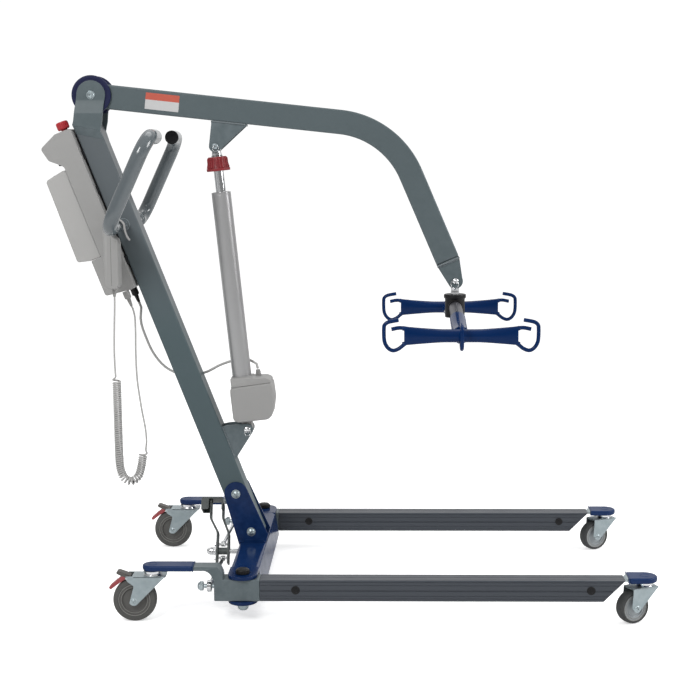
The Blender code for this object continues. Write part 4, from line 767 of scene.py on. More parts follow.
def control_box():
    outline = [(-0.0335, 0.695), (-0.0335, 1.096), (-0.037, 1.0985), (-0.073, 1.0985), (-0.1145, 1.08),
               (-0.1175, 1.075), (-0.111, 1.046), (-0.108, 1.043), (-0.086, 1.024), (-0.082, 1.018),
               (-0.082, 0.7885), (-0.108, 0.7885), (-0.108, 0.701), (-0.104, 0.6975), (-0.04, 0.69)]
    slope = (-0.42, 0, 1)
    display = moved(block((-0.014, -0.024, 0), (0.014, 0.008, 0.0008), 0.0006), facing(-0.095, -0.01, 1.0884, slope))
    # Four dark blocks in the gap between the case and the mast, carrying painted shadow.
    gap_shadows = [block((-0.035, -0.036, z - 0.011), (-0.0293, 0.036, z + 0.011), 0.0015)
              for z in (0.76, 0.85, 0.94, 1.03)]
    foot = lathe([(0.009, 0.691), (0.009, 0.673), (0.0084, 0.6715), (0.006, 0.6715)], 28)
    boot = [(0.006, 0.6725)]
    for i in range(7):
        z, r = 0.67 - 0.0027 * i, 0.0058 - 0.00028 * i
        boot += [(r, z + 0.0006), (r, z - 0.0006), (r - 0.0011, z - 0.001), (r - 0.0011, z - 0.0018)]
    piece("control_box_case", "base", MAST, "control_box", "case_plastic",
          (CASE, prism(rounded(outline, 0.003, 3), -0.055, 0.055, 0.0026, 3)),
          (BLACK, block((-0.101, -0.014, 1.0275), (-0.087, 0.014, 1.0335), 0.0015)),
          (FRONT_HUB, button_head(0.003, 0.0012, -0.096, 0.018, 1.0905, slope, 20)), (CASE_DARK, display),
          (BLACK, block((-0.0379, -0.018, 0.74), (-0.0295, 0.018, 1.07), 0.001)), (PAINTED_SHADOW, *gap_shadows),
          (BLACK, *(shift(bm, -0.0545, 0.03) for bm in (foot, lathe(boot, 24)))))


def handset_socket():
    head = lathe([(0.0085, 0.6905), (0.0085, 0.676), (0.0078, 0.6722), (0.006, 0.672)], 28)
    piece("handset_plug_boot", "base", MAST, "handset_socket", "black_plastic",
          (CASE, shift(head, SOCKET_X, SOCKET_Y), ribbed_boot(SOCKET_X, SOCKET_Y, 0.6725, 0.652, 0.0058, 0.0034)))


def battery():
    rear = [(-0.0825, 0.789), (-0.0825, 1.011), (-0.09, 1.0125), (-0.133, 1.0045), (-0.137, 1),
            (-0.1412, 0.801), (-0.1385, 0.7965), (-0.109, 0.789)]
    lean = 0.0042 / 0.199
    ribs = [shift(block((-0.0006, -0.03, -0.0012), (0.001, 0.03, 0.0012), 0.0005), -0.137 - (1 - z) * lean, 0, z)
            for z in (0.965 - 0.007 * i for i in range(7))]
    piece("battery_case", "battery", MAST, "battery_pack", "case_plastic",
          (BATTERY_CASE, prism(rounded(rear, 0.004), -0.052, 0.052, 0.0028, 3), *ribs),
          (CASE_DARK, block((-0.123, -0.018, 1.0045), (-0.103, 0.018, 1.0108), 0.0015)))


def stop_button():
    head = [(0, 0.0251), (0.006, 0.0252), (0.012, 0.025), (0.0136, 0.0244), (0.0144, 0.0232), (0.0145, 0.0215),
            (0.0145, 0.0085), (0.0141, 0.007), (0.0132, 0.0063), (0.0078, 0.0062), (0.0078, -0.012), (0, -0.012)]
    ribs = [tube([(0.0145 * c, 0.0145 * s, z) for z in (0.0095, 0.0222)], 0.0006, 8)
            for c, s in unit_circle(20)[:-1]]
    piece("stop_button_head", "stop_button", MAST @ Matrix.Translation((-0.0555, -0.012, 1.0985)),
          "emergency_stop_button", "red_plastic", (STOP_RED, lathe(head, 44), *ribs))


def handset():
    y = HANDSET_Y
    outline = [(-0.079, 0.748), (-0.083, 0.753), (-0.085, 0.905), (-0.08, 0.912), (-0.0735, 0.912),
               (-0.0712, 0.905), (-0.07, 0.878), (-0.054, 0.864), (-0.051, 0.856), (-0.05, 0.756), (-0.055, 0.748)]
    seams = [block((-0.0668, y + side * 0.0259 - 0.0003, 0.756), (-0.0662, y + side * 0.0259 + 0.0003, 0.872))
             for side, _ in SIDES]
    panel = prism(rounded(rectangle(y - 0.019, 0.77, y + 0.019, 0.898), 0.005), -0.0849, -0.0836, 0.0003, plane="YZ")
    tilt = placed((-0.0843, y, 0.834), math.radians(-0.8)) @ Matrix.Translation((0.0843, -y, -0.834))
    ring_x, ring_z = HANDLE_X, HANDLE_Z - 0.0005
    hook_line = arc(0, 0, 0.0168, 200, 0, 30)
    hook_line += [(0.0176, -0.006), (0.02, -0.016), (0.024, -0.025), (0.029, -0.0318)]
    strap = moved(tube(smooth([(ring_x + u, 0, ring_z + v) for u, v in hook_line], 0.0015), 0.0021, 16),
                  Matrix.Translation((0, y, 0)) @ Matrix.Diagonal((1, 4.4, 1, 1)))
    piece("handset_case", "base", BASE, "handset", "case_plastic",
          (CASE, prism(rounded(outline, 0.005), y - 0.026, y + 0.026, 0.006, 4)), (CASE_DARK, *seams),
          (FRONT_HUB, moved(panel, tilt)), (CASE, strap, ribbed_boot(-0.065, y, 0.75, 0.7277, 0.0064, 0.0036)))
    for label, z, flip in (("up", 0.875, 1), ("down", 0.845, -1)):
        square = rounded(rectangle(y - 0.008, z - 0.008, y + 0.008, z + 0.008), 0.0025)
        mark = [(y - 0.0042, z - flip * 0.0024), (y + 0.0042, z - flip * 0.0024), (y, z + flip * 0.0042)]
        piece(f"handset_key_{label}", f"{label}_button", BASE, f"handset_{label}_button", "black_plastic",
              (BLACK, prism(square, -0.0868, -0.0812, 0.0008, plane="YZ")),
              (LABEL_WHITE, prism(mark, -0.0871, -0.0862, 0.0001, plane="YZ")))


control_box()
handset_socket()
battery()
stop_button()
handset()


# Legs, covers and casters

def leg_section():
    """The extrusion's outline in (across, height), with shallow grooves on its sides and top."""
    corner, depth, wide = 0.003, 0.0008, 0.0009
    out = []

    def run(start, end, grooves):
        start, end = Vector(start), Vector(end)
        along = (end - start).normalized()
        inward = Vector((-along.y, along.x))
        out.append(start + along * corner)
        for g in grooves:
            for offset, deep in ((-wide, 0), (-wide * 0.3, depth), (wide * 0.3, depth), (wide, 0)):
                out.append(start + along * (g + offset) + inward * deep)
        out.append(end - along * corner)
        centre = end - along * corner + inward * corner
        for a in (math.radians(22.5 * k) for k in (1, 2, 3)):
            out.append(centre - inward * corner * math.cos(a) + along * corner * math.sin(a))

    half = LEG_HALF
    side = (0.0045, 0.012, 0.024, 0.026, 0.037, 0.043)
    run((-half, LEG_LOW), (half, LEG_LOW), (0.016, 0.034))
    run((half, LEG_LOW), (half, LEG_HIGH), [0.05 - g for g in reversed(side)])
    run((half, LEG_HIGH), (-half, LEG_HIGH), (0.012, 0.023, 0.027, 0.038))
    run((-half, LEG_HIGH), (-half, LEG_LOW), side)
    return out


def leg_tube(side, label):
    rear, front = 0.289 - LEG_PIVOT_X, 1.12 - LEG_PIVOT_X
    bm = bmesh.new()
    loops = []
    for outline in (leg_section(), rounded(rectangle(-0.022, 0.053, 0.022, 0.097), 0.002, 2)):
        near = [bm.verts.new((rear, y, z)) for y, z in outline]
        far = [bm.verts.new((front - (LEG_HIGH - z), y, z)) for y, z in outline]
        join(bm, near, far)
        loops.append((near, far))
    for rings in zip(*loops):
        edges = [bm.edges.get((ring[i - 1], ring[i])) for ring in rings for i in range(len(ring))]
        bmesh.ops.bridge_loops(bm, edges=edges)
    tongue = [(front - 0.035, 0.0958), (front + 0.046, 0.0958), (front + 0.046, 0.1042), (front + 0.006, 0.1042),
              (front + 0.001, 0.0986), (front - 0.035, 0.0986)]
    plug = [(0.0098, 0), (0.0098, 0.0008), (0.009, 0.0016), (0.006, 0.0018), (0.005, 0.001), (0, 0.001)]
    plugs = [moved(lathe(plug, 32), facing(x - LEG_PIVOT_X, sign * LEG_HALF, 0.077, (0, sign, 0)))
             for x in (0.3705, 1.0424) for sign, _ in SIDES]
    piece(f"leg_extrusion_{label}", f"{label}_leg", at_leg_pivot(side), f"{label}_leg_tube", "leg_grey",
          (LEG_GREY, closed(bm)), (ZINC, prism(tongue, -0.018, 0.018, 0.0008)), (BLACK, *plugs))


def leg_block(side, label):
    p = LEG_PIVOT_X
    arm = [(0.036, 0.1305), (0.036, 0.1215), (0.158, 0.1215), *arc(0.158, 0.0985, 0.023, 90, 10, 12),
           (0.186, 0.098), (0.204, 0.098), (0.2045, 0.106), (0.203, 0.114), (0.199, 0.123), (0.192, 0.1305)]
    arm_y = side * 0.005
    dome = [(0, 0.1415 - p), (0.004, 0.142 - p), (0.0072, 0.1433 - p), (0.0088, 0.1453 - p), (0.009, 0.1471 - p)]
    stud = [bar("X", 24, (0.005, 0.147 - p), (0.005, 0.19 - p)),
            hexagon(0.0115, 0.147 - p, 0.1545 - p, "X"), disc(0.0105, 0.1545 - p, 0.1555 - p, 0.0003, "X"),
            lathe(dome, 28, axis="X")]
    piece(f"leg_end_{label}", f"{label}_leg", at_leg_pivot(side), f"{label}_leg_block", "grey_paint",
          (GREY_PAINT, block((0.184 - p, -LEG_HALF, LEG_LOW), (0.2887 - p, LEG_HALF, LEG_HIGH), 0.0022, 3),
           prism([(x - p, z) for x, z in arm], arm_y - 0.02, arm_y + 0.02, 0.0016, 3)),
          (ZINC, *(shift(bm, 0, -side * STUD_INSET, STUD_Z) for bm in stud),
           shift(disc(0.0125, 0, 0.0006, 0.0002), 0, 0, 0.0999)))


def caster_cover(place, side, label, node, centre_x, centre_y, root_x, radius, low, high):
    """A moulded sleeve with a rounded nose and a shallow dimple over the swivel's bolt."""
    ahead = 1 if root_x > centre_x else -1
    outline = arc(centre_x, centre_y, radius, 90 * ahead, 90 * ahead + 180, 32)
    outline += [(root_x, centre_y - ahead * radius), (root_x, centre_y + ahead * radius)]
    rim = [(0.0125, high - 0.0003), (0.0118, high + 0.0004), (0.0106, high + 0.0005), (0.0098, high - 0.0003)]
    reach = radius + 0.0005
    lip = rectangle(root_x - 0.0009, centre_y - reach, root_x + 0.0009, centre_y + reach)
    piece(f"{place}_cover_{label}", f"{label}_leg", BASE @ Matrix.Translation((0, side * LEG_Y, 0)), node,
          "blue_paint", (NAVY_PLASTIC, prism(outline, low, high, 0.0042, 4, "XY"),
                         shift(lathe(rim, 36, ring=True), centre_x, centre_y),
                         prism(lip, low - 0.0004, high + 0.0004, 0.0006, plane="XY")))


def wheel(radius, width, hub_half, tyre, hub, share=0.735):
    half = width / 2
    tread = [(share, 0.86), (share + 0.025, 0.97), (0.52 + share / 2, 1), (0.945, 0.92), (0.985, 0.68), (1, 0.3)]
    tread = [(radius * r, half * z) for r, z in tread]
    face = [(0.0043, hub_half), (radius * 0.155, hub_half), (radius * 0.175, hub_half * 0.94)]
    face += [(radius * r, half * z) for r, z in ((0.19, 0.8), (0.34, 0.62), (0.52, 0.62), (0.575, 0.8),
                                                 (share - 0.075, 0.83), (share, 0.8))]
    tread, face = (lathe(p + [(r, -z) for r, z in reversed(p)], 72, ring=True, axis="Y") for p in (tread, face))
    rings = [tube([(radius * at * c, side * half * 0.86, radius * at * s) for c, s in unit_circle(72)], thick, 8, False)
             for side, _ in SIDES for at, thick in ((share - 0.01, 0.0009), (share - 0.135, 0.0006))]
    return [(tyre, tread), (hub, face), (BEAD, *rings)]


def fork(cheek, inner, outer, top, race_radius, race_top, axle):
    low, high, rear, front = top
    plate = [(rear, -outer), (front - 0.006, -outer), (front, -outer + 0.006), (front, outer - 0.006),
             (front - 0.006, outer), (rear, outer)]
    third = (race_top - high) / 3
    race = [(0.3, high - 0.0005), (1, high - 0.0002), (1.02, high + 0.0012), (0.96, high + third),
            (0.9, high + third * 1.15), (0.9, high + third * 1.35), (1, high + third * 1.5),
            (1.01, race_top - 0.001), (0.94, race_top), (0.3, race_top)]
    x, z = axle
    fixings = []
    for side, _ in SIDES:
        fixings += [button_head(0.0062, 0.003, x, side * outer, z, (0, side, 0), 28),
                    shift(disc(0.0085, 0, 0.0008, 0.0002, "Y"), x, side * outer - 0.0004, z)]
    shaft = shift(bar("Y", 20, (0.004, -outer), (0.004, outer)), x, 0, z)
    return [(FORK_ZINC, *both(rounded(cheek, 0.0035), inner, outer, 0.0009),
             prism(rounded(plate, 0.004), low, high, 0.0011, 3, "XY")),
            (CHROME, lathe([(race_radius * r, level) for r, level in race])), (ZINC, *fixings, shaft)]


def rear_caster(side, label):
    matrix = BASE @ Matrix.Translation((REAR_CASTER[0], side * REAR_CASTER[1], 0))
    cheek = [(-0.061, 0.1085), (-0.057, 0.0965), (-0.0415, 0.0855), (-0.052, 0.047)]
    cheek += [*arc(*REAR_AXLE, 0.011, 200, 325, 8), (0.024, 0.101), (0.032, 0.1085)]
    groups = fork(cheek, 0.019, 0.0215, (0.1045, 0.108, -0.046, 0.031), 0.021, 0.1197, REAR_AXLE)
    hinge = shift(bar("Y", 16, (0.0024, -0.0225), (0.0024, 0.0225)), -0.057, 0, 0.1035)
    piece(f"rear_fork_{label}", f"rear_{label}_caster", matrix, f"rear_{label}_fork", "zinc", *groups, (ZINC, hinge))
    axle = Matrix.Translation((REAR_AXLE[0], 0, REAR_AXLE[1]))
    piece(f"rear_wheel_{label}", f"rear_{label}_wheel", matrix @ axle, f"rear_{label}_wheel", "tyre_rubber",
          *wheel(0.05, 0.03, 0.0175, REAR_TYRE, REAR_HUB))
    grey = [(0.008, -0.002), (0.008, 0.003), (-0.006, 0.009), (-0.02, 0.014), (-0.025, 0.0125),
            (-0.0258, 0.0085), (-0.0225, 0.0058), (-0.011, 0.001), (-0.004, -0.003)]
    red = [(-0.004, -0.0005), (-0.011, 0.0025), (-0.02, -0.004), (-0.043, -0.0235), (-0.0432, -0.0265),
           (-0.0395, -0.03), (-0.024, -0.018), (-0.006, -0.006)]
    ribs = [tube([(-0.027 - 0.0036 * i, y, -0.0098 - 0.0031 * i) for y in (-0.0085, 0.0085)], 0.0008, 8)
            for i in range(4)]
    grey, red = (prism(rounded(points, 0.0032), -0.011, 0.011, 0.0012) for points in (grey, red))
    piece(f"rear_brake_{label}", f"rear_{label}_brake", matrix @ Matrix.Translation((-0.057, 0, 0.104)),
          f"rear_{label}_brake_pedal", "red_plastic", (BRAKE_GREY, grey), (BRAKE_RED, red, *ribs))


def front_caster(side, label):
    matrix = BASE @ placed((FRONT_CASTER[0], side * FRONT_CASTER[1], 0), FRONT_CASTER_TURN, "Z")
    cheek = [(-0.044, 0.084), (-0.044, 0.074), (-0.0475, 0.04), *arc(*FRONT_AXLE, 0.0105, 190, 325, 8),
             (0.018, 0.074), (0.025, 0.08), (0.025, 0.084)]
    piece(f"front_fork_{label}", f"front_{label}_caster", matrix, f"front_{label}_fork", "zinc",
          *fork(cheek, 0.0175, 0.02, (0.0805, 0.0838, -0.043, 0.0245), 0.019, 0.0927, FRONT_AXLE))
    axle = Matrix.Translation((FRONT_AXLE[0], 0, FRONT_AXLE[1]))
    piece(f"front_wheel_{label}", f"front_{label}_wheel", matrix @ axle, f"front_{label}_wheel", "tyre_rubber",
          *wheel(0.0375, 0.028, 0.016, FRONT_TYRE, FRONT_HUB, 0.82))


for SIDE, LABEL in SIDES:
    leg_tube(SIDE, LABEL)
    leg_block(SIDE, LABEL)
    caster_cover("rear", SIDE, LABEL, f"{LABEL}_rear_arm_cover", REAR_CASTER[0], SIDE * 0.005, 0.1364, 0.023,
                 0.12, 0.133)
    caster_cover("front", SIDE, LABEL, f"{LABEL}_front_cover", FRONT_CASTER[0], 0, 1.128, 0.0285, 0.093, 0.1065)
    rear_caster(SIDE, LABEL)
    front_caster(SIDE, LABEL)


# Pedal and tie rods

def pedal():
    pad = rounded([(0.112, 0.13), (0.115, 0.134), (0.164, 0.134), (0.167, 0.13), (0.167, 0.102), (0.163, 0.102),
                   (0.163, 0.1295), (0.116, 0.1295), (0.116, 0.102), (0.112, 0.102)], 0.0015, 2)
    wall = rounded([(0.1125, 0.1025), (0.13, 0.1025), (0.1315, 0.108), (0.1315, 0.131), (0.1125, 0.131)], 0.003)
    treads = [block((x, -0.019, 0.1338), (x + 0.0028, 0.019, 0.1349), 0.0005)
              for x in (0.1205 + 0.0055 * i for i in range(8))]
    rear = [(0.133, 0.13), (0.133, 0.082), (0.1525, 0.046), (0.1525, -0.033), (0.1575, -0.033), (0.1575, 0.048),
            (0.138, 0.084), (0.138, 0.13)]
    front = [(0.164, 0.12), (0.164, 0.082), (0.1805, 0.042), (0.1805, -0.033), (0.1855, -0.033), (0.1855, 0.044),
             (0.169, 0.084), (0.169, 0.12)]
    arms = [prism(rounded(arm, 0.006), -0.013, 0.013, 0.001) for arm in (rear, front)]
    pins = []
    for side, _ in SIDES:
        pins += [shift(bar("X", 16, (0.0033, 0.156), (0.0033, 0.1835)), z=side * ROD_PIN_OUT),
                 shift(hexagon(0.006, 0.1477, 0.1524, "X"), z=side * ROD_PIN_OUT)]
    piece("opening_pedal", "pedal", BASE @ placed((0, 0, PEDAL_Z), -PEDAL_LEAN, "X"), "pedal_lever", "grey_paint",
          (PEDAL_GREY, prism(pad, -0.023, 0.023, 0.0008), *both(wall, 0.0206, 0.0229, 0.0006)), (BLACK, *treads),
          (PEDAL_GREY, *arms, bar("X", 28, (0.0088, 0.153), (0.0088, 0.185))), (CHROME, *pins))
    bolt = [(0, 0.128), (0.0045, 0.129), (0.0072, 0.1315), (0.0088, 0.135), (0.0095, 0.14), (0.0095, 0.143),
            (0.0088, 0.1436), (0.0095, 0.1442), (0.0095, 0.1518), (0.006, 0.1522), (0.006, 0.232), (0, 0.232)]
    piece("pedal_bolt", "base", BASE @ Matrix.Translation((0, 0, PEDAL_Z)), "pedal_pivot_bolt", "chrome",
          (CHROME, lathe(bolt, 32, axis="X")))


def tie_rods():
    for side, label in SIDES:
        x, stud_y = 0.1695, side * (LEG_Y - STUD_INSET)
        pin_y = side * ROD_PIN_OUT * math.sin(PEDAL_LEAN)
        pin_z = PEDAL_Z + side * ROD_PIN_OUT * (1 + math.cos(PEDAL_LEAN)) / 2
        eye = bushing(0.0085, 0.0135, 0.005, (0.001, 0.001), 36, "X")
        small = bushing(0.005, 0.0069, 0.005, (0.0005, 0.0006), 28, "X")
        inner = Vector((x, pin_y + side * 0.006, pin_z))
        outer = Vector((x, stud_y - side * 0.0115, STUD_Z))
        run = (outer - inner).normalized()
        piece(f"tie_rod_{label}", f"{label}_tie", BASE, f"{label}_tie_rod", "chrome",
              (CHROME, shift(eye, x, stud_y, STUD_Z), shift(small, x, pin_y, pin_z), tube([inner, outer], 0.0045, 24)),
              (ZINC, moved(hexagon(0.0078, 0, 0.007), facing(*(outer - run * 0.018), run))),
              (CHROME, tube([outer - run * 0.012, outer + run * 0.002], 0.0062, 24)))


pedal()
tie_rods()


# Arm

ALONG_TIP = Vector((math.cos(BOOM_BEND), -math.sin(BOOM_BEND)))
ACROSS_TIP = Vector((math.sin(BOOM_BEND), math.cos(BOOM_BEND)))


def tip_point(along, across):
    """A place beyond the arm's lower end, along and across its last straight."""
    bend_centre = Vector((BOOM_STRAIGHT, -BOOM_BEND_RADIUS))
    return bend_centre + ACROSS_TIP * (BOOM_BEND_RADIUS + across) + ALONG_TIP * (BOOM_DROP + along)


def boom_edge(offset):
    """The arm's upper or lower line from its pivot to its end."""
    turn = math.degrees(BOOM_BEND)
    points = [(0, offset), *arc(BOOM_STRAIGHT, -BOOM_BEND_RADIUS, BOOM_BEND_RADIUS + offset, 90, 90 - turn, 28)]
    return [*points, tuple(Vector(points[-1]) + ALONG_TIP * BOOM_DROP)]


def boom():
    outline = boom_edge(BOOM_HALF) + boom_edge(-BOOM_HALF)[::-1] + arc(0, 0, BOOM_HALF, 270, 90, 18)[1:-1]
    labels = [(material, prism(rounded(rectangle(0.129, low, 0.21, high), 0.0008, 2), -0.0233, -0.0226))
              for low, high, material in ((-0.0185, 0.004, LABEL_WHITE), (0.004, 0.0205, LABEL_RED))]
    piece("arm_tube", "boom", BOOM, "boom_tube", "grey_paint",
          (GREY_PAINT, prism(outline, -0.023, 0.023, 0.0042, 4)), *labels)


def boom_tip():
    half = BOOM_HALF
    cap = [tip_point(a, c) for a, c in ((0.0003, half), (0.0003, -half), (0.006, -half), (0.006, half))]
    cheek = [tip_point(*p) for p in [(0.003, half), (0.003, -half), *arc(*BOOM_TIP_HOLE, 0.0185, -90, 90, 24)]]
    groups = [(GREY_PAINT, prism(cap, -0.023, 0.023, 0.0012))]
    for (side, _), plate in zip(SIDES, both(cheek, 0.0135, 0.0195, 0.0014, 3)):
        line = [tip_point(0.0035 + 0.0006 * math.sin(i * 1.9), -half + 2 * half * i / 28) for i in range(29)]
        groups += [(GREY_PAINT, plate), (WELD, weld([(p.x, side * 0.0232, p.y) for p in line], 0.0021, 0.0005, 2.5))]
    for side, _ in SIDES:
        line = [tip_point(0.0068, -half + 0.003 + (2 * half - 0.006) * i / 24) for i in range(25)]
        groups.append((WELD, weld([(p.x, side * 0.02, p.y) for p in line], 0.0019, 0.0004, 2.2)))
    piece("arm_tip_fork", "boom", BOOM, "boom_tip_fork", "grey_paint", *groups)
    at = tip_point(*BOOM_TIP_HOLE)
    piece("arm_tip_pin", "boom", BOOM @ Matrix.Translation((at.x, 0, at.y)), "boom_tip_pin", "chrome",
          (CHROME, head_at(0.008, 0.0045, 0.0198), bar("Y", 24, (0.005, -0.02), (0.005, 0.024), (0.0042, 0.025)),
           bar("Y", 18, (0.0032, -0.02), (0.0032, -0.0262), (0.0028, -0.0266)),
           split_ring(-0.001, -0.0256, 0.003, 0.0098, 0.0013, -0.35)))


def boom_discs():
    for side, label in SIDES:
        profile = [(0.0083, 0.0312), (0.035, 0.0312), (0.0362, 0.0306), (0.038, 0.0306), (0.0392, 0.0312),
                   (0.0452, 0.0312), (0.0465, 0.0307), (0.047, 0.0295), (0.047, 0.025), (0.0465, 0.0238),
                   (0.0452, 0.0233), (0.0083, 0.0233)]
        piece(f"pivot_disc_{label}", "boom", BOOM, f"{label}_pivot_disc", "blue_plastic",
              (NAVY_DISC, lathe([(r, side * y) for r, y in profile], 80, ring=True, axis="Y")))


def bracket():
    rod_end = BOOM.inverted() @ (ACTUATOR @ Vector((0, 0, ACTUATOR_LENGTH)))
    s, n = rod_end.x, rod_end.z
    low = -BOOM_HALF - 0.0003
    groups = [(GREY_PAINT, block((s - 0.015, -0.0215, low - 0.005), (s + 0.07, 0.0215, low), 0.0008))]
    ear = [(s + 0.069, low - 0.003), (s - 0.014, low - 0.003), *arc(s, n, 0.0145, 180, 315, 16)]
    for (side, _), plate in zip(SIDES, both(ear, 0.0165, 0.0215, 0.001)):
        bead = [(s - 0.013 + 0.081 * i / 30, side * 0.022, low - 0.0008) for i in range(31)]
        groups += [(GREY_PAINT, plate), (WELD, weld(bead, 0.0018, 0.0004, 2.4)),
                   (ZINC, button_head(0.008, 0.005, s, side * 0.0216, n, (0, side, 0)))]
    piece("arm_bracket", "boom", BOOM, "boom_bracket", "grey_paint", *groups,
          (CHROME, split_ring(s + 0.0025, -0.0262, n + 0.002, 0.007, 0.0011, 0.3)))


boom()
boom_tip()
boom_discs()
bracket()


# Hanger and cradle, measured from the arm tip's hole

TIP = tip_point(*BOOM_TIP_HOLE)
HANGER_PLACE = BOOM @ Vector((TIP.x, 0, TIP.y))
HANGER = Matrix.Translation(HANGER_PLACE)
DROP = HANGER_PLACE.z
CROSS_Z, BAR_Z, BAR_Y = 0.689 - DROP, 0.656 - DROP, 0.29


def hanger():
    eye = bushing(0.0054, 0.0125, 0.012, (0.002, 0.002), 40, "Y")
    shank = [(0.0105, -0.006), (0.0105, -0.018), (0.0098, -0.02), (0.0098, -0.026), (0.0105, -0.028),
             (0.0105, 0.7068 - DROP)]
    piece("swivel_shank", "hanger", HANGER, "hanger_yoke", "chrome", (CHROME, eye, lathe(shank, 36)))


def cross_path():
    """The cross tube's line, which dips towards both bars."""
    reach, level = BAR_Y - 0.0153, 0.03
    path = []
    for y in (reach * (2 * i / 32 - 1) for i in range(33)):
        ramp = min(1, max(0, (abs(y) - level) / (reach - level)))
        path.append(Vector((0, y, CROSS_Z - (CROSS_Z - BAR_Z) * ramp * ramp * (3 - 2 * ramp))))
    return path


def collar():
    high, low = 0.7205 - DROP, 0.664 - DROP
    profile = [(0.0112, high), (0.025, high), (0.0262, high - 0.0006), (0.027, high - 0.0022),
               (0.027, high - 0.0075), (0.0262, high - 0.0095), (0.0244, high - 0.011), (0.024, high - 0.013),
               (0.024, low + 0.0015), (0.0228, low), (0.0112, low)]
    saddle = arc(0, 0, 0.0178, -35, 215, 24) + arc(0, 0, 0.0158, -35, 215, 24)[::-1]
    piece("swivel_collar", "cradle", HANGER, "cradle_collar", "black_plastic",
          (BLACK, lathe(profile, 56, ring=True),
           *(shift(bm, z=CROSS_Z) for bm in both(saddle, 0.0215, 0.03, 0.0006))),
          (ZINC, button_head(0.0045, 0.0028, 0, 0, low + 0.0003, (0, 0, -1))))


def cross_tube():
    piece("cradle_middle_tube", "cradle", HANGER, "cradle_cross_tube", "grey_paint",
          (TUBE_DARK, tube(cross_path(), 0.0155, 36)))


HOOK_ROUTE = ((-0.006, -0.015), (0.003, -0.022), (0.0121, -0.0291), (0.0237, -0.0332), (0.0336, -0.0296),
              (0.0417, -0.0193), (0.045, -0.006), (0.0452, 0.019), (0.043, 0.026), (0.037, 0.0305),
              (0.029, 0.0328), (0.0121, 0.0358))


def hook(start, outward, size=1.0):
    start, outward = Vector(start), Vector(outward)
    return [start + outward * u * size + Vector((0, 0, v * size)) for u, v in HOOK_ROUTE]


def bar_body(y, steps=48, sides=40):
    """A bar that is round in its middle and turns flat and tall towards both ends."""
    round_half, end_tall, end_wide = 0.015, 0.0215, 0.0065
    bm = bmesh.new()
    rings = []
    for station in (-1 + 2 * k / steps for k in range(steps + 1)):
        flat = min(1, max(0, (abs(station) - 0.3) / 0.7)) ** 1.3
        tall = round_half + (end_tall - round_half) * flat
        wide = round_half + (end_wide - round_half) * flat
        power = 1 / (1 + 0.9 * flat)
        rings.append([bm.verts.new((station * BAR_HALF, y + math.copysign(abs(c) ** power, c) * wide, BAR_Z + tall * s))
                      for c, s in unit_circle(sides)[:-1]])
    for a, b in zip(rings, rings[1:]):
        join(bm, a, b)
    bm.faces.new(rings[0][::-1])
    bm.faces.new(rings[-1])
    return closed(bm)


def cradle_bar(side, label):
    y = side * BAR_Y

    def wire(points):
        return tube(smooth(points, 0.003), 0.0045, 18)

    shapes = [bar_body(y)]
    for end, _ in SIDES:
        prong = ((-0.02, 0.0155), (-0.012, 0.016), (0.01, 0.0182), (0.0285, 0.015))
        shapes += [wire(hook((end * BAR_HALF, y, BAR_Z), (end, 0, 0))),
                   wire([(end * (BAR_HALF + u), y, BAR_Z + v) for u, v in prong])]
        for u, v in ((0.0004, -0.0185), (0.0006, 0.017)):
            blob = [(u - 0.004, v), (u, v), (u + 0.004, v * 1.02)]
            shapes.append(tube([(end * (BAR_HALF + a), y, BAR_Z + b) for a, b in blob], [0.0042, 0.0058, 0.0046], 14))
    path = cross_path()[::side]
    run = (path[-1] - path[-2]).normalized()
    shapes.append(tube([*path[24:], path[-1] + run * 0.005], 0.0183, 36))
    ring = [path[-1] + run * 0.0015 + Vector((0.0178 * c, 0, 0.0178 * s)) for c, s in unit_circle(40)]
    shapes.append(weld(ring, 0.0022, 0.0004, 2.3))
    middle = [p + Vector((0, side * 0.012, 0)) for p in hook((0, y, BAR_Z), (0, side, 0), 0.78)[1:]]
    shapes.append(wire([(0, y + side * 0.004, BAR_Z - 0.01), *middle]))
    piece(f"cradle_arm_{label}", "cradle", HANGER, f"cradle_bar_{label}", "blue_paint", (NAVY_GLOSS, *shapes))


hanger()
collar()
cross_tube()
cradle_bar(-1, "right")
cradle_bar(1, "left")


# Actuator

def actuator():
    high, low, r, bore = 0.585, 0.1323, 0.0235, 0.0126
    profile = [(bore, high), (0.019, high), (0.0205, high - 0.001), (0.0228, high - 0.001), (r, high - 0.0018),
               (r, high - 0.0075), (r - 0.0003, high - 0.0079), (r - 0.0003, high - 0.0085), (r, high - 0.0089),
               (r, low), (bore, low)]
    piece("actuator_outer_tube", "actuator", ACTUATOR, "actuator_tube", "actuator_grey",
          (ACTUATOR_GREY, lathe(profile, 64, ring=True)))


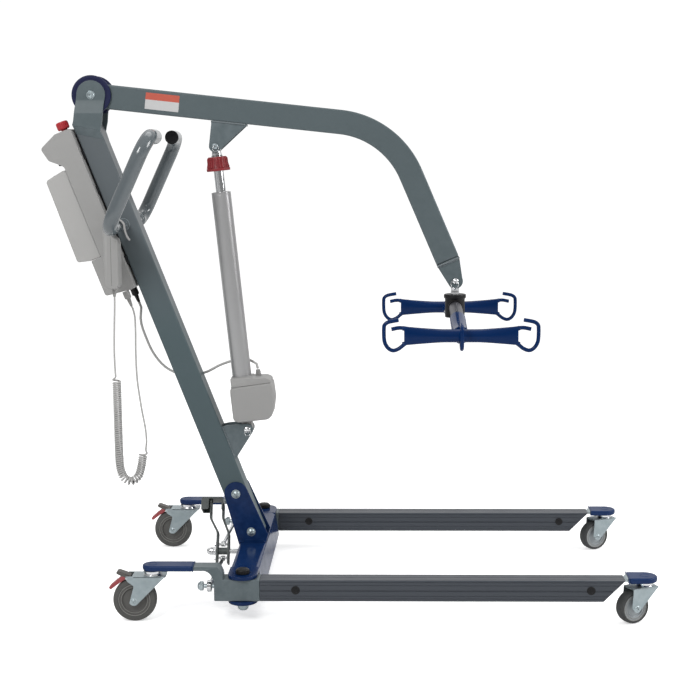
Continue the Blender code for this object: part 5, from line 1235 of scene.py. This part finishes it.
def motor():
    lower = [(0.0762, 0.068), (0.068, 0.033), (0.056, 0.0225), (-0.02, 0.0215), (-0.0296, 0.029),
             (-0.03, 0.095), (-0.0285, 0.108), (0.0745, 0.112)]
    upper = [(-0.0262, 0.132), (0.027, 0.13), (0.03, 0.1275), (0.061, 0.1255), (0.0725, 0.119), (0.0725, 0.106),
             (-0.0262, 0.103)]
    seam = [(-0.027, 0.1086), (0.07, 0.1126), (0.07, 0.1132), (-0.027, 0.1092)]
    neck = lathe([(0.0262, 0.118), (0.0268, 0.13), (0.0258, 0.1318), (0.0242, 0.1322), (0.02, 0.1322)], 48)
    lug = [(-0.012, 0.03), *arc(0, 0, 0.013, 180, 360, 18), (0.012, 0.03)]
    piece("motor_case", "actuator", ACTUATOR, "motor_housing", "case_plastic",
          (CASE, prism(rounded(lower, 0.006, 5), -0.038, 0.038, 0.004, 3),
           prism(rounded(upper, 0.004), -0.034, 0.034, 0.005, 4)),
          (CASE_DARK, prism(seam, -0.0343, 0.0343)),
          (CASE, neck, prism(lug, -0.017, 0.017, 0.0012), ribbed_boot(0.04, 0.01, 0.122, 0.142, 0.0085, 0.0055, 5)))


def piston():
    top = ACTUATOR_LENGTH
    stem = lathe([(0.012, 0.255), (0.012, top - 0.018), (0.011, top - 0.012)], 40)
    eye = bushing(0.0052, 0.014, 0.015, (0.0015, 0.0012), 40, "Y")
    collar_ring = lathe([(0.0118, 0.6705), (0.0136, 0.6707), (0.0137, 0.6722), (0.0118, 0.6726)], 40, ring=True)
    piece("piston_rod", "rod", ACTUATOR, "actuator_rod", "chrome", (CHROME, stem, shift(eye, z=top)),
          (CASE_DARK, collar_ring))


def knob():
    low, bore = 0.635, 0.0126
    profile = [(bore, 0.0345), (0.0205, 0.0345), (0.0222, 0.0338), (0.0232, 0.0318), (0.0236, 0.018),
               (0.0262, 0.0078), (0.028, 0.007), (0.0285, 0.0055), (0.0285, 0.0016), (0.0277, 0.0003),
               (0.0262, 0), (bore, 0)]
    ridge = ((0.0226, 0.0325), (0.0238, 0.029), (0.024, 0.018), (0.0266, 0.008))
    ridges = [tube([(r * math.cos(a), r * math.sin(a), z) for r, z in ridge], [0.0008, 0.0013, 0.0014, 0.0013], 10)
              for a in (2 * math.pi * (i + 0.5) / 22 for i in range(22))]
    piece("lowering_grip", "knob", ACTUATOR @ Matrix.Translation((0, 0, low)), "lowering_knob", "red_plastic",
          (RED, lathe(profile, 72, ring=True), *ridges))


actuator()
motor()
piston()
knob()


# Floor, world and lights

def floor_material():
    n = Nodes("floor_finish")
    n.set("Base Color", n.blend(n.span(n.noise(1.5, 3), 0, 1), (0.86, 0.86, 0.86), (0.9, 0.9, 0.9)))
    n.set("Roughness", n.span(n.noise(8, 3), 0.75, 0.9))
    n.set("Specular IOR Level", 0.1)
    n.set("Emission Color", (1, 1, 1, 1))
    n.set("Emission Strength", n.times(n.add("LightPath").outputs["Is Camera Ray"], 0.5))
    return n.material


def floor():
    bm = bmesh.new()
    bmesh.ops.create_grid(bm, x_segments=2, y_segments=2, size=30)
    mesh = bpy.data.meshes.new("floor")
    bm.to_mesh(mesh)
    bm.free()
    mesh.materials.append(floor_material())
    plane = bpy.data.objects.new("floor", mesh)
    bpy.context.scene.collection.objects.link(plane)


def area_light(name, place, size, power):
    """A white lamp that looks at the object's middle."""
    data = bpy.data.lights.new(name, "AREA")
    data.shape = "RECTANGLE"
    data.size, data.size_y = size
    data.energy = power
    lamp = bpy.data.objects.new(name, data)
    lamp.location = place
    lamp.rotation_euler = (Vector((0, 0, 0.6)) - Vector(place)).to_track_quat("-Z", "Y").to_euler()
    bpy.context.scene.collection.objects.link(lamp)


def lights():
    """White behind the object for the camera. For the object, a studio that is darker behind the camera."""
    world = bpy.data.worlds.new("studio")
    world.use_nodes = True
    tree = world.node_tree
    seen = tree.nodes["Background"]
    seen.inputs["Color"].default_value = (1, 1, 1, 1)
    seen.inputs["Strength"].default_value = 1.05
    way = add_node(tree, "SeparateXYZ", {"Vector": add_node(tree, "TexCoord").outputs["Generated"]}).outputs
    level = add_node(tree, "Math")
    for i, (axis, start, end, low, high) in enumerate((("Z", 0, 0.9, 0.28, 0.9), ("Y", 0.3, 0.95, 0, 0.75))):
        tree.links.new(map_range(tree, way[axis], low, high, start, end), level.inputs[i])
    studio = add_node(tree, "Background", {"Strength": level.outputs[0]})
    path = add_node(tree, "LightPath")
    mix = add_node(tree, "MixShader", {"Fac": path.outputs["Is Camera Ray"], 1: studio.outputs["Background"],
                                       2: seen.outputs["Background"]})
    tree.links.new(mix.outputs["Shader"], tree.nodes["World Output"].inputs["Surface"])
    bpy.context.scene.world = world
    area_light("key", (-1.6, -3, 2.8), (1.2, 1.2), 68)
    area_light("fill", (3.2, -0.5, 2), (1.4, 1.4), 56)
    area_light("top", (0.2, 0.8, 3.6), (2.6, 1.4), 22)


floor()
lights()
bpy.context.scene.view_settings.view_transform = "Standard"
